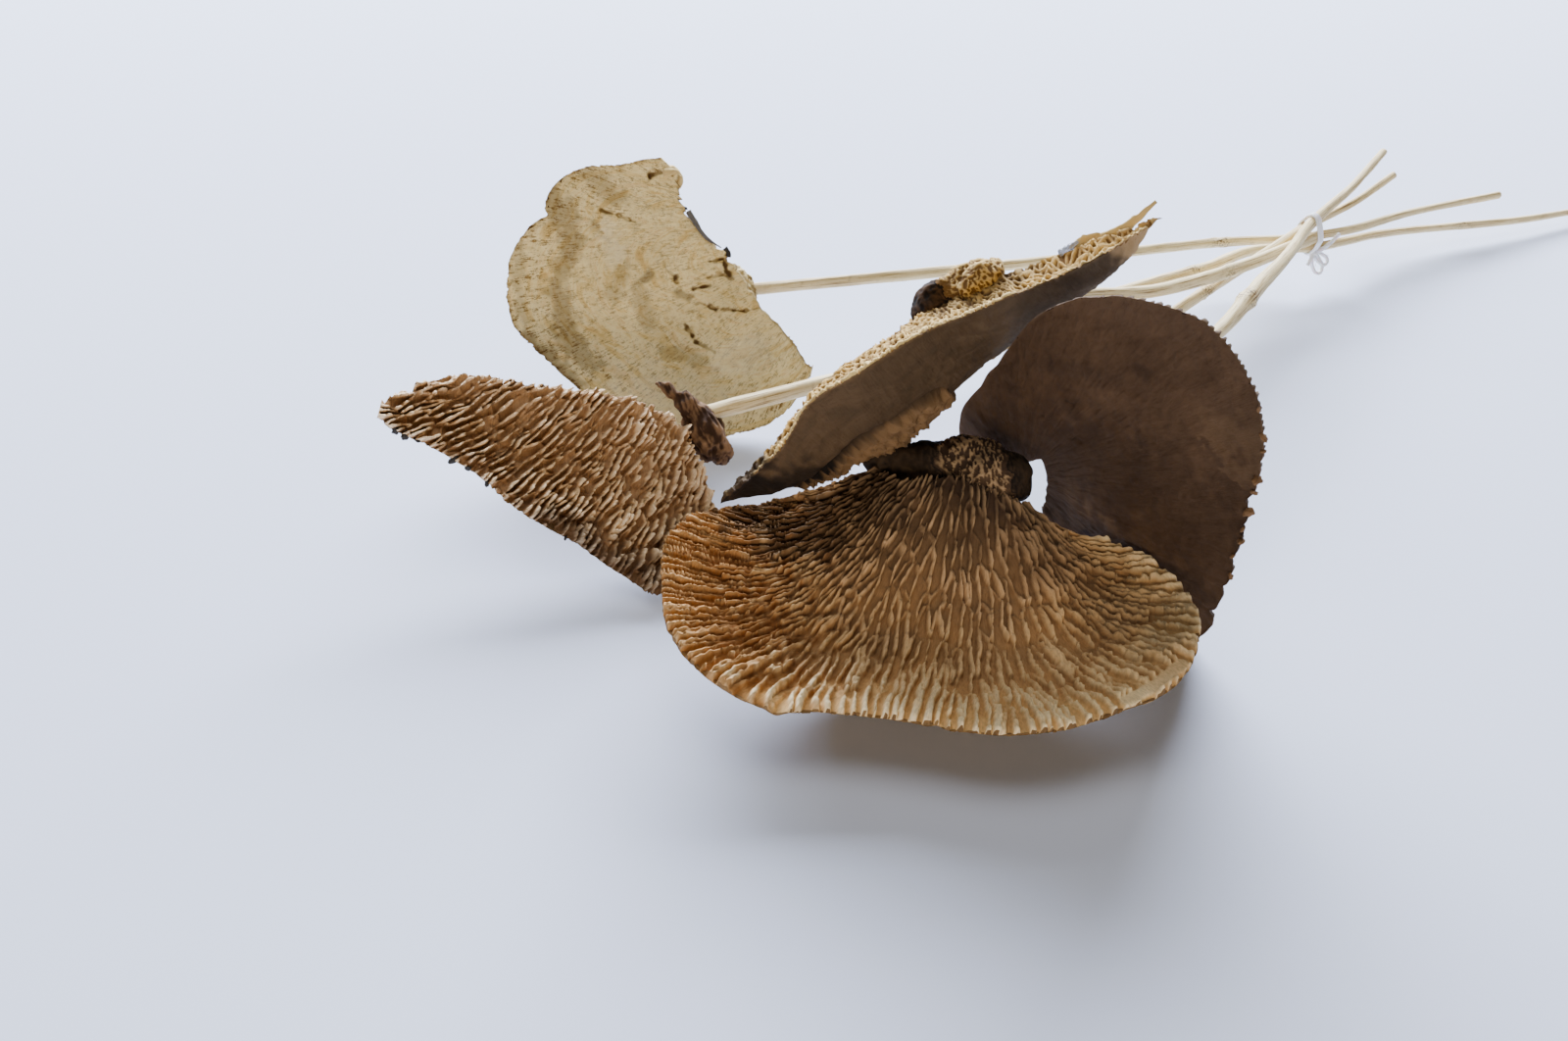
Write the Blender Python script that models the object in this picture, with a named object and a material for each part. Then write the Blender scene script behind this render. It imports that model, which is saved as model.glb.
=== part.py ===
"""A tied bunch of five dried maze-gill bracket mushrooms, each on a peeled twig, lying on its caps.

The caps are fans: gilled on the pore side, smooth and zoned on the other. Each has the woody base that
it grew from, and its twig is set in a bore in that base. The twigs cross near their cut ends, where
a thin white string with a bow ties them. X runs along the bunch, Y away from its front, Z up.
"""
import math
import random

import bpy
import bmesh
import numpy as np
from mathutils import Euler, Matrix, Vector, noise

MM = 0.001

# Driving dimensions, in millimetres and degrees
CENTRE = (106.0, 43.0, -0.06)   # middle of the bunch's footprint, which becomes the origin
GAP = 0.35                 # air between a twig and its bore, and between neighbours that touch
BORE_LENGTH = 36.0         # of the drill, from the twig's inner end out past the woody base
BORE_SIDES = 12
GILL_RISE = 0.12           # share of the gills' length over which they rise from the base
GILL_SWAY = 0.30           # side to side, in steps from a crest to the next valley
EDGE_HEIGHT = 0.55         # of a gill at the margin, as a share of its full height
KNOBBLE = 0.16             # relief of the woody lumps, as a share of their half size
STUB = 0.06                # how far a cut-off twig runs past the tie, as a share of its last stretch
TWIG_STEP = 20.0           # spacing of the points along a twig
TIE_CENTRE = (213.0, 160.0, 21.5)
TIE_HEADING = 37.0         # direction of the bunch at the tie, from X towards Y
STRING_DIAMETER = 1.2
TIE_TURNS = 2
TIE_PITCH = 1.5            # along the bunch, from one turn of the string to the next
TIE_SLACK = 2.1            # between the twigs' sections at the tie and the string's inner side
KNOT_ANGLE = -28.0         # round the bunch, from its front towards its top
KNOT_SIZE = (2.0, 1.8, 1.6)
STRING_SIDES = 6
TURN_STEPS = 18
LOOP_STEPS = 10

# The bare outline of a fan: its root, along the woody base, and its margin, both in the cap's own
# frame as (along the fan, across it, rise towards the pore side), from one side of the fan to the other.
CAPS = {
    "cap_front": dict(
        hub=(53, -27, 41.8), turn=(0, 0, -90), outline_on="pores",
        root=[(1, -23, 0), (9, -12, 2), (7, 0, 3), (14, 12, 2), (14, 26, -8)],
        margin=[(6, -72, -14), (16, -84, -9), (28, -90, -7), (49, -91, -8), (70, -87, -11),
                (82, -76, -16), (90, -60, -21), (91, -42, -22), (94, -21, -22), (99, -2, -22),
                (99, 29, -21), (92, 46, -20), (88, 58, -17), (73, 70, -13), (52, 71, -12),
                (31, 59, -12), (20, 47, -14)],
        sag=20, thick=(24, 4), heavy_at=0.5, ridges=38, ridge=2.6, rows=8, seed=11,
    ),
    "cap_left": dict(
        hub=(-32, 12, 34.6), turn=(-32, 3, -153), outline_on="pores",
        root=[(95, -38, 6), (83, -42, 4), (64, -41, 0), (44, -32, -2), (22, -20, 0), (10, -9, 2),
              (3, 2, 2), (4, 15, 1), (4, 27, 0)],
        margin=[(99, -32, 6), (96, -27, 5), (87, -19, 2), (78, -9, 0), (68, 10, -1), (54, 28, -2),
                (44, 43, -2), (35, 55, -2), (21, 52, -3), (9, 40, -2)],
        sag=4, thick=(9, 4), heavy_at=0.7, ridges=30, ridge=3.2, rows=6, seed=23,
    ),
    "cap_back": dict(
        hub=(-9, 81, 45), turn=(127, -2, -178), outline_on="smooth",
        root=[(28, 39, 0), (26, 30, 0), (19, 19, 0), (9, 11, 0), (1, 0, 0), (-3, -6, 0),
              (-11, -15, 0), (-20, -28, 0)],
        margin=[(36, 46, 0), (44, 44, -1), (61, 43, -2), (73, 36, -3), (76, 25, -3), (84, 19, -3),
                (91, 2, -3), (90, -14, -3), (80, -25, -2), (70, -34, -1), (55, -48, 0), (30, -56, 0),
                (10, -55, 0), (-8, -48, 0), (-19, -33, 0)],
        sag=-3, thick=(9, 4), heavy_at=0.5, ridges=28, ridge=2.6, rows=6, seed=37,
    ),
    "cap_middle": dict(
        hub=(57, 22, 71), turn=(34, -34, -89), outline_on="pores",
        root=[(30, -90, -5), (26, -74, -2), (14, -54, 4), (4, -33, 4), (0, -13, 4), (-1, 3, 3),
              (4, 19, 0), (11, 33, -4), (24, 50, -7), (38, 61, -10)],
        margin=[(34, -99, -7), (47, -87, -6), (57, -75, -4), (72, -56, 3), (76, -44, 2), (73, -23, 1),
                (58, -2, -3), (43, 22, -8), (42, 38, -11), (42, 50, -12), (40, 65, -12)],
        sag=10, thick=(30, 4), heavy_at=0.35, ridges=30, ridge=2.4, rows=6, seed=41,
    ),
    "cap_right": dict(
        hub=(83, -16, 32.1), turn=(-86, -16, -40), outline_on="smooth",
        root=[(-4, -7, 0), (0, -6, 0), (2, -2, 0), (3, 3, 0), (1, 12, 0)],
        margin=[(-28, -8, 0), (-25, -20, -1), (-10, -37, -3), (4, -50, -5), (20, -65, -7),
                (41, -74, -8), (66, -75, -9), (85, -68, -10), (94, -55, -12), (97, -39, -14),
                (91, -17, -15), (86, -3, -16), (79, 14, -16), (72, 28, -15), (63, 42, -12),
                (54, 47, -10), (36, 42, -6), (16, 34, -2), (1, 22, 0)],
        sag=3, thick=(8, 4), heavy_at=0.5, ridges=34, ridge=2.4, rows=6, seed=53,
    ),
}

# Woody lumps at the root of each cap, in the cap's frame: centre, half sizes
BASES = {
    "cap_front": [((-6, 6, -3), (11, 15, 9)), ((0, -16, 0), (8, 9, 7)), ((1, 16, -1), (9, 11, 9))],
    "cap_left": [((-4, 4, -1), (9, 12, 10)), ((4, -7, 3), (6, 5, 4))],
    "cap_back": [((10, 0, 7), (13, 11, 8))],
    "cap_middle": [((-5, 0, 5), (9, 13, 9)), ((0, 6, -9), (9, 9, 12))],
    "cap_right": [((7, 2, 8), (11, 10, 8))],
}

# Each twig from the bore in its cap to its cut end, as (x, y, z, radius); the slot is where it lies
# in the bunch at the tie, as (to the front, up, radius). A twig with no tail is cut off at the tie.
TWIGS = {
    "twig_front": dict(
        cap="cap_front", base=(58, -19, 36, 2.7),
        body=[(68, -4, 30, 2.7), (82, 17, 27, 2.6), (155, 105, 24, 2.3), (176, 129, 22, 2.1),
              (192, 144, 22.8, 2.0)],
        slot=(-2.6, 3.0, 1.9), tail=[(235, 183, 23.5, 1.7), (260, 210, 23, 1.6)],
    ),
    "twig_left": dict(
        cap="cap_left", base=(-27, 14, 35, 3.0),
        body=[(50, 57, 30.5, 2.9), (144, 119, 24.5, 2.5), (166, 134, 21.5, 2.4), (192, 155, 18, 2.1)],
        slot=(0.8, -5.0, 1.9), tail=[(248, 180, 11, 1.8), (323, 204, 5.5, 1.5), (344, 212, 4.5, 1.4)],
    ),
    "twig_back": dict(
        cap="cap_back", base=(-15, 87, 40, 2.4),
        body=[(79, 119, 31, 2.3), (150, 152, 20, 2.1), (181, 163, 17, 2.0)],
        slot=(-3.8, -2.5, 1.8), tail=[(231, 169, 19, 1.8), (257, 184, 17.8, 1.7), (306, 207, 15, 1.6)],
    ),
    "twig_middle": dict(
        cap="cap_middle", base=(56, 26, 66, 2.6),
        body=[(100, 66, 50, 2.6), (140, 96, 34.5, 2.6), (171, 120, 28.2, 2.6)],
        slot=(2.7, 0.5, 2.4), tail=[],
    ),
    "twig_right": dict(
        cap="cap_right", base=(89, -8, 34, 2.9),
        body=[(160, 71, 34, 2.8), (181, 104, 33, 3.2), (194, 124, 31.8, 2.6)],
        slot=(0.6, 7.0, 2.1), tail=[(232, 181, 30.5, 1.8), (254, 211, 33.5, 1.7)],
    ),
}

# The loose parts of the string from the knot: two small loops of the bow and two ends, in millimetres
# from the knot as (along the bunch, to its front, up), each loop as its far point and half width
BOW_LOOPS = [((0.5, 3.2, -7.7), 2.0), ((4.0, 4.0, -4.0), 1.8)]
LOOSE_ENDS = [[(3, 1.2, 1.0), (7, 2.2, 3.0), (12, 2.5, 6.0)], [(-2, 1.2, -1.5), (-4, 1.5, -3.7)]]

COLOURS = {
    "cap_front": (0.28, 0.15, 0.06), "cap_left": (0.26, 0.14, 0.06), "cap_back": (0.44, 0.31, 0.16),
    "cap_middle": (0.33, 0.23, 0.12), "cap_right": (0.13, 0.08, 0.05), "twig": (0.55, 0.43, 0.27),
    "string": (0.78, 0.78, 0.80),
}


def along(points, fractions):
    """Points at the given fractions of a smooth curve through some points."""
    points = np.array(points, float)
    fractions = np.atleast_1d(np.array(fractions, float))
    reach = np.cumsum(np.linalg.norm(np.diff(points, axis=0), axis=1))
    knots = np.concatenate([[0.0], reach]) / reach[-1]
    slopes = np.gradient(points, knots, axis=0)
    i = np.clip(np.searchsorted(knots, fractions, side="right") - 1, 0, len(points) - 2)
    step = (knots[i + 1] - knots[i])[:, None]
    u = (fractions - knots[i])[:, None] / step
    return (
        (2 * u**3 - 3 * u**2 + 1) * points[i] + (u**3 - 2 * u**2 + u) * step * slopes[i]
        + (3 * u**2 - 2 * u**3) * points[i + 1] + (u**3 - u**2) * step * slopes[i + 1]
    )


def finish(name, surface, roughness):
    """A material in the plain colour of the piece."""
    material = bpy.data.materials.new(name)
    material.use_nodes = True
    shader = material.node_tree.nodes["Principled BSDF"]
    shader.inputs["Base Color"].default_value = (*COLOURS[surface], 1.0)
    shader.inputs["Roughness"].default_value = roughness
    shader.inputs["Metallic"].default_value = 0.0
    return material


def clear_scene():
    for thing in list(bpy.data.objects):
        bpy.data.objects.remove(thing, do_unlink=True)


def link(name, data):
    thing = bpy.data.objects.new(name, data)
    bpy.context.scene.collection.objects.link(thing)
    return thing


def pose_of(cap):
    """Where a cap's own frame lies in the bunch."""
    turn = Euler([math.radians(a) for a in cap["turn"]]).to_matrix().to_4x4()
    return Matrix.Translation(Vector(cap["hub"]) * MM) @ turn


def middle_surface(cap, s, t):
    """The sheet of the fan, s of the way from root to margin along the line of gills at t across it."""
    root = along(cap["root"], t)
    margin = along(cap["margin"], t)
    s = np.array(s, float)[:, None]
    point = root + (margin - root) * s
    middle = np.maximum(4.0 * t * (1.0 - t), 0.0)
    belly = np.maximum(4.0 * s[:, 0] * (1.0 - s[:, 0]), 0.0) ** 1.6 * middle**0.6
    point[:, 2] -= cap["sag"] * belly
    return point


def lift(cap, s, t, side):
    """How far a side of the fan stands off the sheet of its outline. The body behind the outlined
    side is thick at the root, thickest at heavy_at across the fan, and thins outwards and sideways."""
    root, margin = cap["thick"]
    heavy = cap["heavy_at"]
    across = np.where(t < heavy, (t / heavy) ** 0.8, ((1.0 - t) / (1.0 - heavy)) ** 1.3)
    body = (root - margin) * (1.0 - s) ** 0.9 * across
    if side == cap["outline_on"]:
        body = body * 0.0
    return margin / 2 + body if side == "pores" else -margin / 2 - body


def gilled_side(cap):
    """Rows of points over the pore side: ridges that rise, sway and break off as they run outwards."""
    dice = random.Random(cap["seed"])
    columns = 2 * cap["ridges"] + 1
    crest = [dice.uniform(0.65, 1.0) if j % 2 else 0.0 for j in range(columns)]
    phase = [dice.uniform(0.0, math.tau) for _ in range(columns)]
    rows = []
    for i in range(cap["rows"] + 1):
        s = i / cap["rows"]
        inside = 0 < i < cap["rows"]
        sway = [GILL_SWAY * math.sin(5.0 * s + phase[j]) if inside and 0 < j < columns - 1 else 0.0
                for j in range(columns)]
        t = np.array([(j + sway[j]) / (columns - 1) for j in range(columns)])
        point = middle_surface(cap, np.full(columns, s), t)
        rise = min(1.0, s / GILL_RISE) * (EDGE_HEIGHT if i == cap["rows"] else 1.0)
        ridge = [cap["ridge"] * rise * crest[j] * (0.85 + 0.15 * math.sin(9.0 * s + phase[j]))
                 for j in range(columns)]
        point[:, 2] += lift(cap, s, t, "pores") - cap["ridge"] / 2 + np.array(ridge)
        rows.append(point)
    return rows


def smooth_side(cap):
    """Rows of points over the upper side, which is smooth with a few broad ripples."""
    columns = cap["ridges"] // 2 + 1
    t = np.linspace(0.0, 1.0, columns)
    rows = []
    for i in range(cap["rows"] // 2 + 1):
        s = 2.0 * i / cap["rows"]
        point = middle_surface(cap, np.full(columns, s), t)
        point[:, 2] += lift(cap, s, t, "smooth")
        rows.append(point)
    return rows


def zip_chains(mesh, one, other):
    """Triangles between two chains of vertices that share neither end."""
    i = j = 0
    while i < len(one) - 1 or j < len(other) - 1:
        ahead = (i + 1) / max(len(one) - 1, 1) <= (j + 1) / max(len(other) - 1, 1)
        if j == len(other) - 1 or (ahead and i < len(one) - 1):
            mesh.faces.new((one[i], one[i + 1], other[j]))
            i += 1
        else:
            mesh.faces.new((one[i], other[j + 1], other[j]))
            j += 1


def grid(mesh, rows):
    """Vertices and faces of rows of points in millimetres."""
    made = [[mesh.verts.new(Vector(p) * MM) for p in row] for row in rows]
    for low, high in zip(made, made[1:]):
        for k in range(len(low) - 1):
            mesh.faces.new((low[k], low[k + 1], high[k + 1], high[k]))
    return made


def fan(name, cap):
    """The bracket itself: gilled side, smooth side and the thin edge between them."""
    mesh = bmesh.new()
    top = grid(mesh, gilled_side(cap))
    bottom = grid(mesh, smooth_side(cap))
    zip_chains(mesh, top[0], bottom[0])
    zip_chains(mesh, top[-1], bottom[-1])
    for end in (0, -1):
        zip_chains(mesh, [row[end] for row in top], [row[end] for row in bottom])
    bmesh.ops.triangulate(mesh, faces=mesh.faces)
    bmesh.ops.recalc_face_normals(mesh, faces=mesh.faces)
    data = bpy.data.meshes.new(name)
    mesh.to_mesh(data)
    mesh.free()
    thing = link(name, data)
    thing.matrix_world = pose_of(cap)
    return thing


def as_guide(thing):
    """A body that only shapes another one."""
    thing.hide_render = True
    thing.display_type = "WIRE"
    return thing


def woody_lump(name, pose, centre, half, seed):
    """A knobbly ellipsoid of hard dark wood."""
    mesh = bmesh.new()
    bmesh.ops.create_icosphere(mesh, subdivisions=2, radius=1.0)
    for v in mesh.verts:
        knob = 1.0 + KNOBBLE * noise.noise(v.co * 1.7 + Vector((seed, 0.0, 0.0)))
        v.co = Vector([c + h * k * knob for c, h, k in zip(centre, half, v.co)]) * MM
    data = bpy.data.meshes.new(name)
    mesh.to_mesh(data)
    mesh.free()
    thing = link(name, data)
    thing.matrix_world = pose
    return as_guide(thing)


def shape_with(thing, other, operation):
    change = thing.modifiers.new(other.name, "BOOLEAN")
    change.operation = operation
    change.solver = "EXACT"
    change.object = other


def twig_points(twig):
    """The twig's points and radii, smooth through its slot in the bunch."""
    heading = math.radians(TIE_HEADING)
    front, up, radius = twig["slot"]
    slot = (TIE_CENTRE[0] + front * math.sin(heading), TIE_CENTRE[1] - front * math.cos(heading),
            TIE_CENTRE[2] + up, radius)
    stations = [twig["base"], *twig["body"], slot, *twig["tail"]]
    if not twig["tail"]:
        before = np.array(stations[-2])
        stations[-1] = tuple(np.array(slot) + (np.array(slot) - before) * STUB)
    length = sum(math.dist(a[:3], b[:3]) for a, b in zip(stations, stations[1:]))
    count = max(3, round(length / TWIG_STEP))
    return along(stations, np.linspace(0.0, 1.0, count + 1))


def twig_curve(name, points):
    """A peeled twig as a tapering curve with flat cut ends."""
    data = bpy.data.curves.new(name, "CURVE")
    data.dimensions = "3D"
    data.bevel_depth = MM
    data.bevel_resolution = 2
    data.render_resolution_u = 0
    data.use_fill_caps = True
    spline = data.splines.new("POLY")
    spline.points.add(len(points) - 1)
    for slot, (x, y, z, radius) in zip(spline.points, points):
        slot.co = (x * MM, y * MM, z * MM, 1.0)
        slot.radius = radius
    return link(name, data)


def bore_cutter(name, points):
    """The drill for the bore that holds the twig's end, a little wider and deeper than the twig."""
    end = Vector(points[0][:3])
    way = (Vector(points[1][:3]) - end).normalized()
    radius = (points[0][3] + GAP) / math.cos(math.pi / BORE_SIDES)
    mesh = bmesh.new()
    bmesh.ops.create_cone(mesh, cap_ends=True, segments=BORE_SIDES, radius1=radius * MM,
                          radius2=radius * MM, depth=BORE_LENGTH * MM)
    data = bpy.data.meshes.new(name)
    mesh.to_mesh(data)
    mesh.free()
    thing = link(name, data)
    middle = end + way * (BORE_LENGTH / 2 - GAP)
    thing.matrix_world = Matrix.Translation(middle * MM) @ way.to_track_quat("Z", "Y").to_matrix().to_4x4()
    return as_guide(thing)


def bunch_axis():
    heading = math.radians(TIE_HEADING)
    return Vector((math.cos(heading), math.sin(heading), 0.0))


def bunch_point(along_bunch, front, up):
    """A place near the tie, from distances along the bunch, to its front and up."""
    heading = math.radians(TIE_HEADING)
    return (TIE_CENTRE[0] + along_bunch * math.cos(heading) + front * math.sin(heading),
            TIE_CENTRE[1] + along_bunch * math.sin(heading) - front * math.cos(heading),
            TIE_CENTRE[2] + up)


def string_round(angle):
    """Where the taut string lies round the twigs' sections at the tie, as (to the front, up)."""
    way = np.array([math.cos(angle), math.sin(angle)])
    clear = TIE_SLACK + STRING_DIAMETER / 2
    front, up, radius = max((twig["slot"] for twig in TWIGS.values()),
                            key=lambda slot: slot[0] * way[0] + slot[1] * way[1] + slot[2])
    return np.array([front, up]) + way * (radius + clear)


def string_piece(name, points, closed=False):
    """A tube of string along some points, as a ring or with both ends capped."""
    mesh = bmesh.new()
    points = [Vector(p) * MM for p in points]
    side = None
    rings = []
    last = len(points) - 1
    for i, p in enumerate(points):
        after = points[(i + 1) % len(points)] if closed else points[min(i + 1, last)]
        before = points[i - 1] if closed else points[max(i - 1, 0)]
        way = (after - before).normalized()
        if closed:
            side = bunch_axis() - way * bunch_axis().dot(way)
        else:
            side = way.orthogonal() if side is None else side - way * side.dot(way)
        side.normalize()
        other = way.cross(side)
        corners = [k * math.tau / STRING_SIDES for k in range(STRING_SIDES)]
        rings.append([mesh.verts.new(p + (side * math.cos(c) + other * math.sin(c))
                                     * STRING_DIAMETER / 2 * MM) for c in corners])
    for low, high in zip(rings, rings[1:] + (rings[:1] if closed else [])):
        for k in range(STRING_SIDES):
            n = (k + 1) % STRING_SIDES
            mesh.faces.new((low[k], low[n], high[n], high[k]))
    if not closed:
        mesh.faces.new(rings[0])
        mesh.faces.new(rings[-1])
    bmesh.ops.recalc_face_normals(mesh, faces=mesh.faces)
    data = bpy.data.meshes.new(name)
    mesh.to_mesh(data)
    mesh.free()
    return link(name, data)


def string_tie():
    """The string: turns round the bunch, the knot, the two loops of its bow and its loose ends."""
    knot_front, knot_up = string_round(math.radians(KNOT_ANGLE)) * 1.12
    knot = Vector(bunch_point(0.0, knot_front, knot_up))
    pieces = []
    for n in range(TIE_TURNS):
        place = TIE_PITCH * (n - (TIE_TURNS - 1) / 2)
        turn = [bunch_point(place, *string_round(math.tau * k / TURN_STEPS)) for k in range(TURN_STEPS)]
        pieces.append(string_piece(f"string_turn_{n}", turn, closed=True))
    for n, (far, half_width) in enumerate(BOW_LOOPS):
        reach = Vector(bunch_point(far[0], knot_front + far[1], knot_up + far[2])) - knot
        across = reach.cross(Vector((0.3, 0.2, 1.0))).normalized() * half_width
        loop = [knot + reach * math.sin(a / 2) + across * (0.4 * math.cos(a / 2) + 0.8 * math.sin(a))
                for a in (math.tau * k / LOOP_STEPS for k in range(LOOP_STEPS + 1))]
        pieces.append(string_piece(f"string_loop_{n}", loop))
    for n, end in enumerate(LOOSE_ENDS):
        stations = [tuple(knot)] + [bunch_point(a, knot_front + f, knot_up + u) for a, f, u in end]
        pieces.append(string_piece(f"string_end_{n}", along(stations, np.linspace(0.0, 1.0, 6))))
    mesh = bmesh.new()
    bmesh.ops.create_icosphere(mesh, subdivisions=1, radius=MM)
    bmesh.ops.scale(mesh, vec=KNOT_SIZE, verts=mesh.verts)
    bmesh.ops.translate(mesh, vec=knot * MM, verts=mesh.verts)
    data = bpy.data.meshes.new("string_tie")
    mesh.to_mesh(data)
    mesh.free()
    tie = link("string_tie", data)
    for piece in pieces:
        shape_with(tie, as_guide(piece), "UNION")
    tie.data.materials.append(finish("string_tie", "string", 0.9))
    return tie


def cap_with_base(name, cap, twig):
    thing = fan(name, cap)
    for n, (centre, half) in enumerate(BASES[name]):
        lump = woody_lump(f"{name}_lump_{n}", pose_of(cap), centre, half, cap["seed"] + 3.0 * n)
        shape_with(thing, lump, "UNION")
    shape_with(thing, bore_cutter(f"{name}_bore", twig), "DIFFERENCE")
    thing.data.materials.append(finish(name, name, 0.85))
    return thing


def move_to_origin():
    for thing in bpy.data.objects:
        thing.matrix_world = Matrix.Translation(-Vector(CENTRE) * MM) @ thing.matrix_world


def main():
    clear_scene()
    twigs = {name: twig_points(twig) for name, twig in TWIGS.items()}
    for name, twig in TWIGS.items():
        cap_with_base(twig["cap"], CAPS[twig["cap"]], twigs[name])
        stem = twig_curve(name, twigs[name])
        stem.data.materials.append(finish(name, "twig", 0.6))
    string_tie()
    move_to_origin()


main()
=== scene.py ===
"""A tied bunch of dried maze-gill bracket mushrooms on peeled twigs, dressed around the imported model.

Lengths are in millimetres in the outlines' own frame, where the bunch was laid out: X runs along the
bunch, Y away from its front, Z up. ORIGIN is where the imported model's origin lies in that frame.
"""
import math

import bpy
import numpy as np
from mathutils import Euler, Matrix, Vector, noise


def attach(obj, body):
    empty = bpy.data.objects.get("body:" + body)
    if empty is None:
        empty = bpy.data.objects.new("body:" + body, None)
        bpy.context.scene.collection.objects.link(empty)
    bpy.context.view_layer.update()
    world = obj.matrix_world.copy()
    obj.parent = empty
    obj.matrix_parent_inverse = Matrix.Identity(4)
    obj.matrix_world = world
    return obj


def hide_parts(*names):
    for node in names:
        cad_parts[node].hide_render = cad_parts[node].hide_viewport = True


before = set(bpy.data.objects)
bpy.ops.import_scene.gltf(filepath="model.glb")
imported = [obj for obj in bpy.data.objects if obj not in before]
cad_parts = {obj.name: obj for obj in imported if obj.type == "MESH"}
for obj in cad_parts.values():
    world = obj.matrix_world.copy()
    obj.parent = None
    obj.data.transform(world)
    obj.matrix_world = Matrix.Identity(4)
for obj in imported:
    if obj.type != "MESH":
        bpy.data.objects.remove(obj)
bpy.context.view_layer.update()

MM = 0.001
ORIGIN = np.array([106.0, 43.0, -0.06])

# The outlines of the caps, each in its own frame as (along the fan, across it, rise to the pore side),
# and how flesh and skin have grown on them. Lengths in millimetres.
#   hub, turn  where that frame's origin lies, and how it is turned in degrees
#   outline_on the side whose edges the points are, pores or smooth
#   sag        how deep the fan is dished
#   thick      at the root and at the margin; heavy_at, the share along the root where it is thickest
#   edge       thickness of the very margin, as a share of the margin's
#   blunt      the same for the start of the margin, and the share along it where that has ended
#   centre     the point that the pore walls run away from; None where they run square to the margin
#   pores      (distance from that centre, pore width, pore length, half thickness of a wall)
#   square     (share along the margin, how far the walls run square to it there, from 0 to 1)
#   fine_wings (share along the margin, how much finer the pores are before it), and the same after it
#   depth      of the pores
#   rows       of the mesh over the pore side and over the skin; columns follow the margin
#   lean       how far the walls lean sideways; straight, how much they wander; teeth, how jagged they are
#   low_ends   how much lower the walls across the growth are; shingle, how much walls rise on their way out
#   worn       (depth, width) of the waves and of the small teeth of the margin; torn, of the root's edge
#   nicks      of the margin, as (place, depth, width)
#   rim_tone   how pale the flesh is where it has no pores, from 0 to 1
#   strip      the edge of the rough strip along the root, as (share along the margin, share of the way out)
#   creases    folds in both faces, and cracks in the skin, as (line, depth, width)
#   bald       places without pores, as (line, width)
#    stains     (line, width, strength), darker where the strength is over 0 and paler under it: real stains, and painted shade and painted light where marked below
#   blush      the same for rusty patches
#   seed       of the chance in it
EVEN_GROWTH = dict(
    low_ends=0.4, shingle=0.0, lean=0.0, straight=1.0, teeth=1.0, blunt=(0.0, 1.0),
    nicks=[], strip=[], creases=[], bald=[], cracks=[], blush=[],
)
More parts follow.
